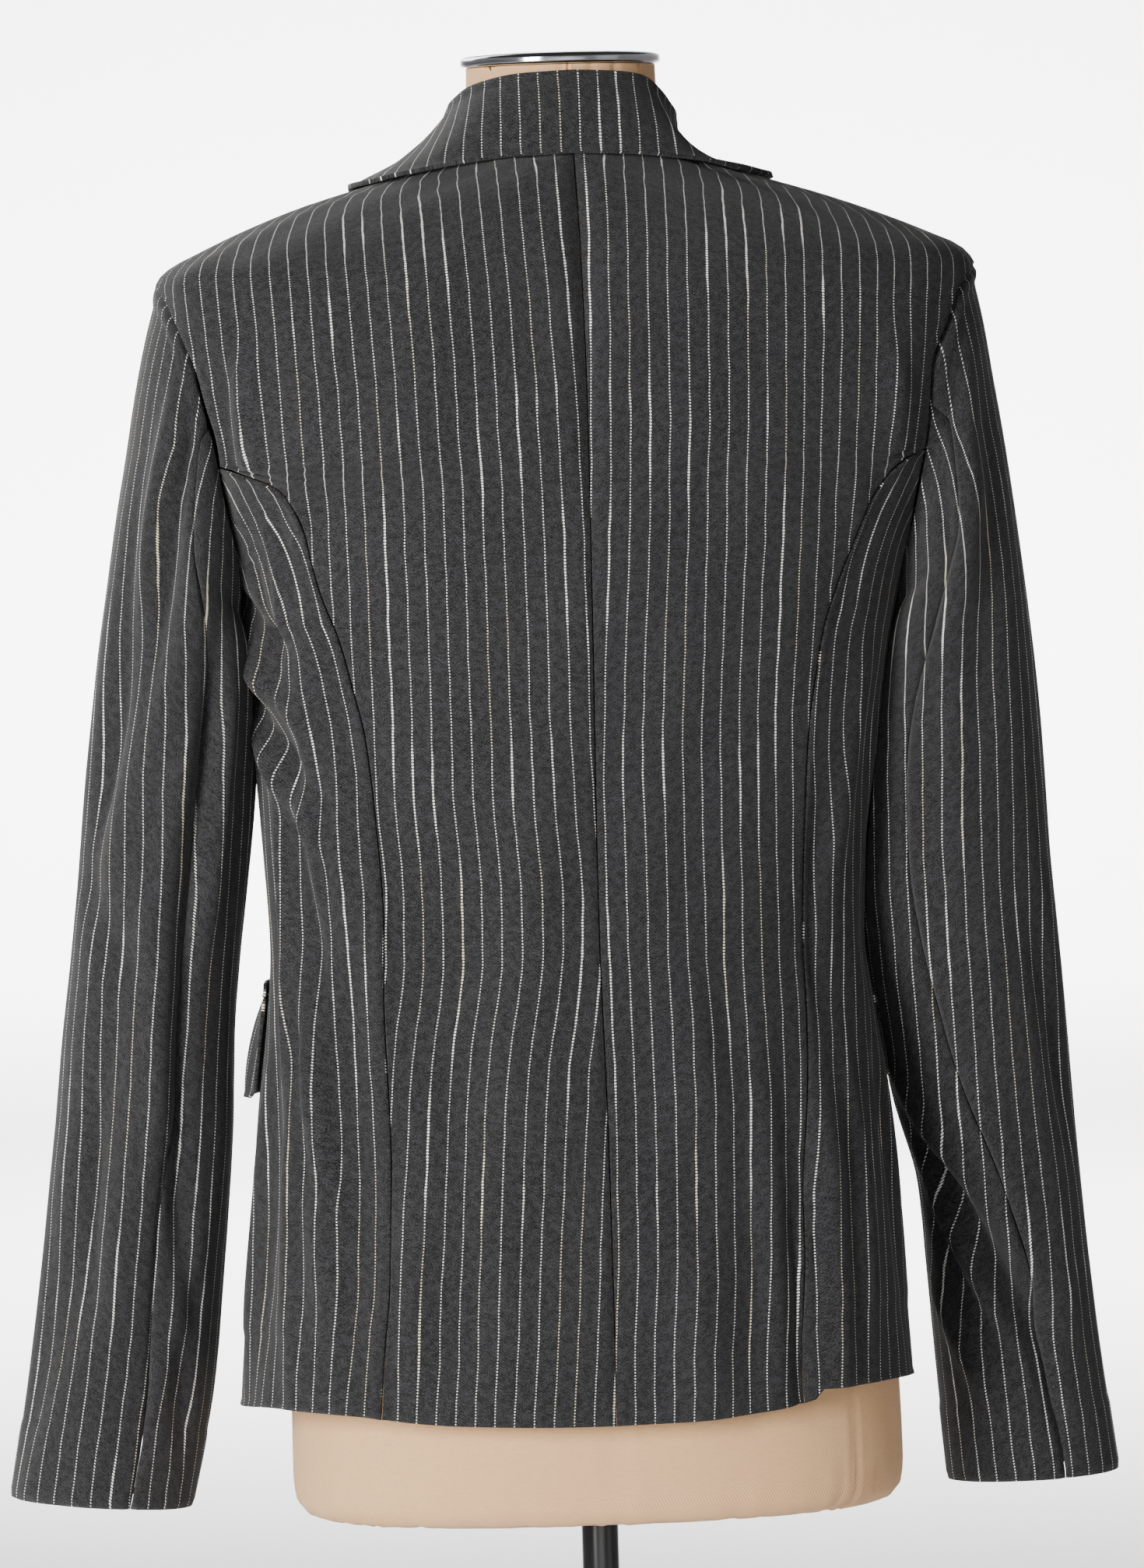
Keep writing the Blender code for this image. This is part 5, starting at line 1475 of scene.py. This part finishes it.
class BlazerClothSettings(bpy.types.PropertyGroup):
    """Sizes and colours of the cloth."""

    stripe_pitch: FloatProperty(
        name="Stripe pitch", description="From stripe to stripe",
        default=0.010, unit="LENGTH",
    )
    dot_pitch: FloatProperty(
        name="Dot pitch", description="From dot to dot along a stripe",
        default=0.00155, unit="LENGTH",
    )
    dot_width: FloatProperty(name="Dot width", description="Width of a plain dot", default=0.00070, unit="LENGTH")
    twill_pitch: FloatProperty(
        name="Twill pitch", description="From rib to rib, measured along the grain",
        default=0.00130, unit="LENGTH",
    )
    thickness: FloatProperty(
        name="Cloth thickness", description="Thickness of the made-up cloth",
        default=0.0016, unit="LENGTH",
    )
    detail: FloatProperty(
        name="Mesh step", description="Distance between the mesh's points",
        default=0.0038, unit="LENGTH",
    )
    cloth_colour: FloatVectorProperty(
        name="Cloth", description="The twill's colour",
        default=(0.020, 0.020, 0.022), subtype="COLOR",
    )
    stripe_colour: FloatVectorProperty(
        name="Stripe", description="The dots' ivory",
        default=(1.0, 0.98, 0.92), subtype="COLOR",
    )
    gold_colour: FloatVectorProperty(
        name="Golden stripe", description="The dots where they turn golden",
        default=(0.80, 0.66, 0.38), subtype="COLOR",
    )


class BlazerFormSettings(bpy.types.PropertyGroup):
    """Sizes and colours of the dress form and its stand."""

    canvas_pitch: FloatProperty(
        name="Canvas pitch", description="From yarn pair to yarn pair",
        default=0.0016, unit="LENGTH",
    )
    canvas_colour: FloatVectorProperty(
        name="Canvas", description="The form's cover",
        default=(0.86, 0.51, 0.26), subtype="COLOR",
    )
    pole_radius: FloatProperty(
        name="Pole radius", description="Half the pole's thickness",
        default=0.0096, unit="LENGTH",
    )


class BlazerStageSettings(bpy.types.PropertyGroup):
    """Camera, light and paper."""

    distance: FloatProperty(
        name="Distance", description="Camera's distance from the pole",
        default=4.8, unit="LENGTH",
    )
    height: FloatProperty(name="Height", description="Camera's height above the floor", default=1.346, unit="LENGTH")
    swing: FloatProperty(name="Swing", description="Camera's turn towards the wearer's left, in degrees", default=5.0)
    dip: FloatProperty(name="Dip", description="Camera's tilt downwards, in degrees", default=2.61)
    roll: FloatProperty(name="Roll", description="Camera's roll, in degrees", default=1.565)
    lens: FloatProperty(name="Lens", description="Focal length in millimetres", default=214.5)
    ambient: FloatProperty(name="Ambient", description="Strength of the even light", default=0.05)
    paper_power: FloatProperty(
        name="Paper light", description="Power of the light on the backdrop",
        default=1650.0, unit="POWER",
    )
    floor_radius: FloatProperty(
        name="Floor radius", description="Half the floor's width",
        default=15.0, unit="LENGTH",
    )
    key_power: FloatProperty(name="Key", description="Power of the main light", default=188.0, unit="POWER")
    paper_colour: FloatVectorProperty(
        name="Paper", description="Floor and backdrop",
        default=(0.88, 0.88, 0.88), subtype="COLOR",
    )


# ---------------------------------------------------------------- operators


class BLAZER_OT_backs(bpy.types.Operator):
    """Make the two back panels"""

    bl_idname = "blazer.backs"
    bl_label = "Back panels"

    def execute(self, context):
        make_backs(context)
        return {"FINISHED"}


class BLAZER_OT_sides(bpy.types.Operator):
    """Make the two side panels"""

    bl_idname = "blazer.sides"
    bl_label = "Side panels"

    def execute(self, context):
        make_sides(context)
        return {"FINISHED"}


class BLAZER_OT_fronts(bpy.types.Operator):
    """Make the two fronts"""

    bl_idname = "blazer.fronts"
    bl_label = "Fronts"

    def execute(self, context):
        make_fronts(context)
        return {"FINISHED"}


class BLAZER_OT_lapels(bpy.types.Operator):
    """Make the turned-back lapels"""

    bl_idname = "blazer.lapels"
    bl_label = "Lapels"

    def execute(self, context):
        make_lapels(context)
        return {"FINISHED"}


class BLAZER_OT_sleeves(bpy.types.Operator):
    """Make the upper and under sleeves"""

    bl_idname = "blazer.sleeves"
    bl_label = "Sleeves"

    def execute(self, context):
        make_sleeves(context)
        return {"FINISHED"}


class BLAZER_OT_collar(bpy.types.Operator):
    """Make the collar's fall and stand"""

    bl_idname = "blazer.collar"
    bl_label = "Collar"

    def execute(self, context):
        make_collar(context)
        return {"FINISHED"}


class BLAZER_OT_pockets(bpy.types.Operator):
    """Make the pocket flaps and welts"""

    bl_idname = "blazer.pockets"
    bl_label = "Pockets"

    def execute(self, context):
        make_pockets(context)
        return {"FINISHED"}


class BLAZER_OT_button(bpy.types.Operator):
    """Make the front button"""

    bl_idname = "blazer.button"
    bl_label = "Button"

    def execute(self, context):
        make_button(context)
        return {"FINISHED"}


class BLAZER_OT_form(bpy.types.Operator):
    """Make the dress form's canvas cover"""

    bl_idname = "blazer.form"
    bl_label = "Dress form"

    def execute(self, context):
        make_form(context)
        return {"FINISHED"}


class BLAZER_OT_stand(bpy.types.Operator):
    """Make the neck cap, the pole and the foot"""

    bl_idname = "blazer.stand"
    bl_label = "Stand"

    def execute(self, context):
        make_stand(context)
        return {"FINISHED"}


class BLAZER_OT_stage(bpy.types.Operator):
    """Make the paper, the lights and the camera"""

    bl_idname = "blazer.stage"
    bl_label = "Stage"

    def execute(self, context):
        make_stage(context)
        return {"FINISHED"}


class BLAZER_PT_panel(bpy.types.Panel):
    """Lists the settings and the steps"""

    bl_label = "Blazer"
    bl_idname = "BLAZER_PT_panel"
    bl_space_type = "VIEW_3D"
    bl_region_type = "UI"
    bl_category = "Blazer"

    def draw(self, context):
        for name in ("blazer_cloth", "blazer_form", "blazer_stage"):
            group = getattr(context.scene, name)
            box = self.layout.box()
            for key in group.__annotations__:
                box.prop(group, key)
        for step in STEPS:
            self.layout.operator("blazer." + step)


STEPS = ("stage", "backs", "sides", "fronts", "lapels", "sleeves", "collar", "pockets", "button", "form", "stand")
CLASSES = (
    BlazerClothSettings,
    BlazerFormSettings,
    BlazerStageSettings,
    BLAZER_OT_backs,
    BLAZER_OT_sides,
    BLAZER_OT_fronts,
    BLAZER_OT_lapels,
    BLAZER_OT_sleeves,
    BLAZER_OT_collar,
    BLAZER_OT_pockets,
    BLAZER_OT_button,
    BLAZER_OT_form,
    BLAZER_OT_stand,
    BLAZER_OT_stage,
    BLAZER_PT_panel,
)


def register():
    for kind in CLASSES:
        bpy.utils.register_class(kind)
    bpy.types.Scene.blazer_cloth = PointerProperty(type=BlazerClothSettings)
    bpy.types.Scene.blazer_form = PointerProperty(type=BlazerFormSettings)
    bpy.types.Scene.blazer_stage = PointerProperty(type=BlazerStageSettings)


def unregister():
    del bpy.types.Scene.blazer_stage
    del bpy.types.Scene.blazer_form
    del bpy.types.Scene.blazer_cloth
    for kind in reversed(CLASSES):
        bpy.utils.unregister_class(kind)


def main():
    register()
    for step in STEPS:
        getattr(bpy.ops.blazer, step)()
    bpy.context.view_layer.update()


if __name__ == "__main__":
    main()
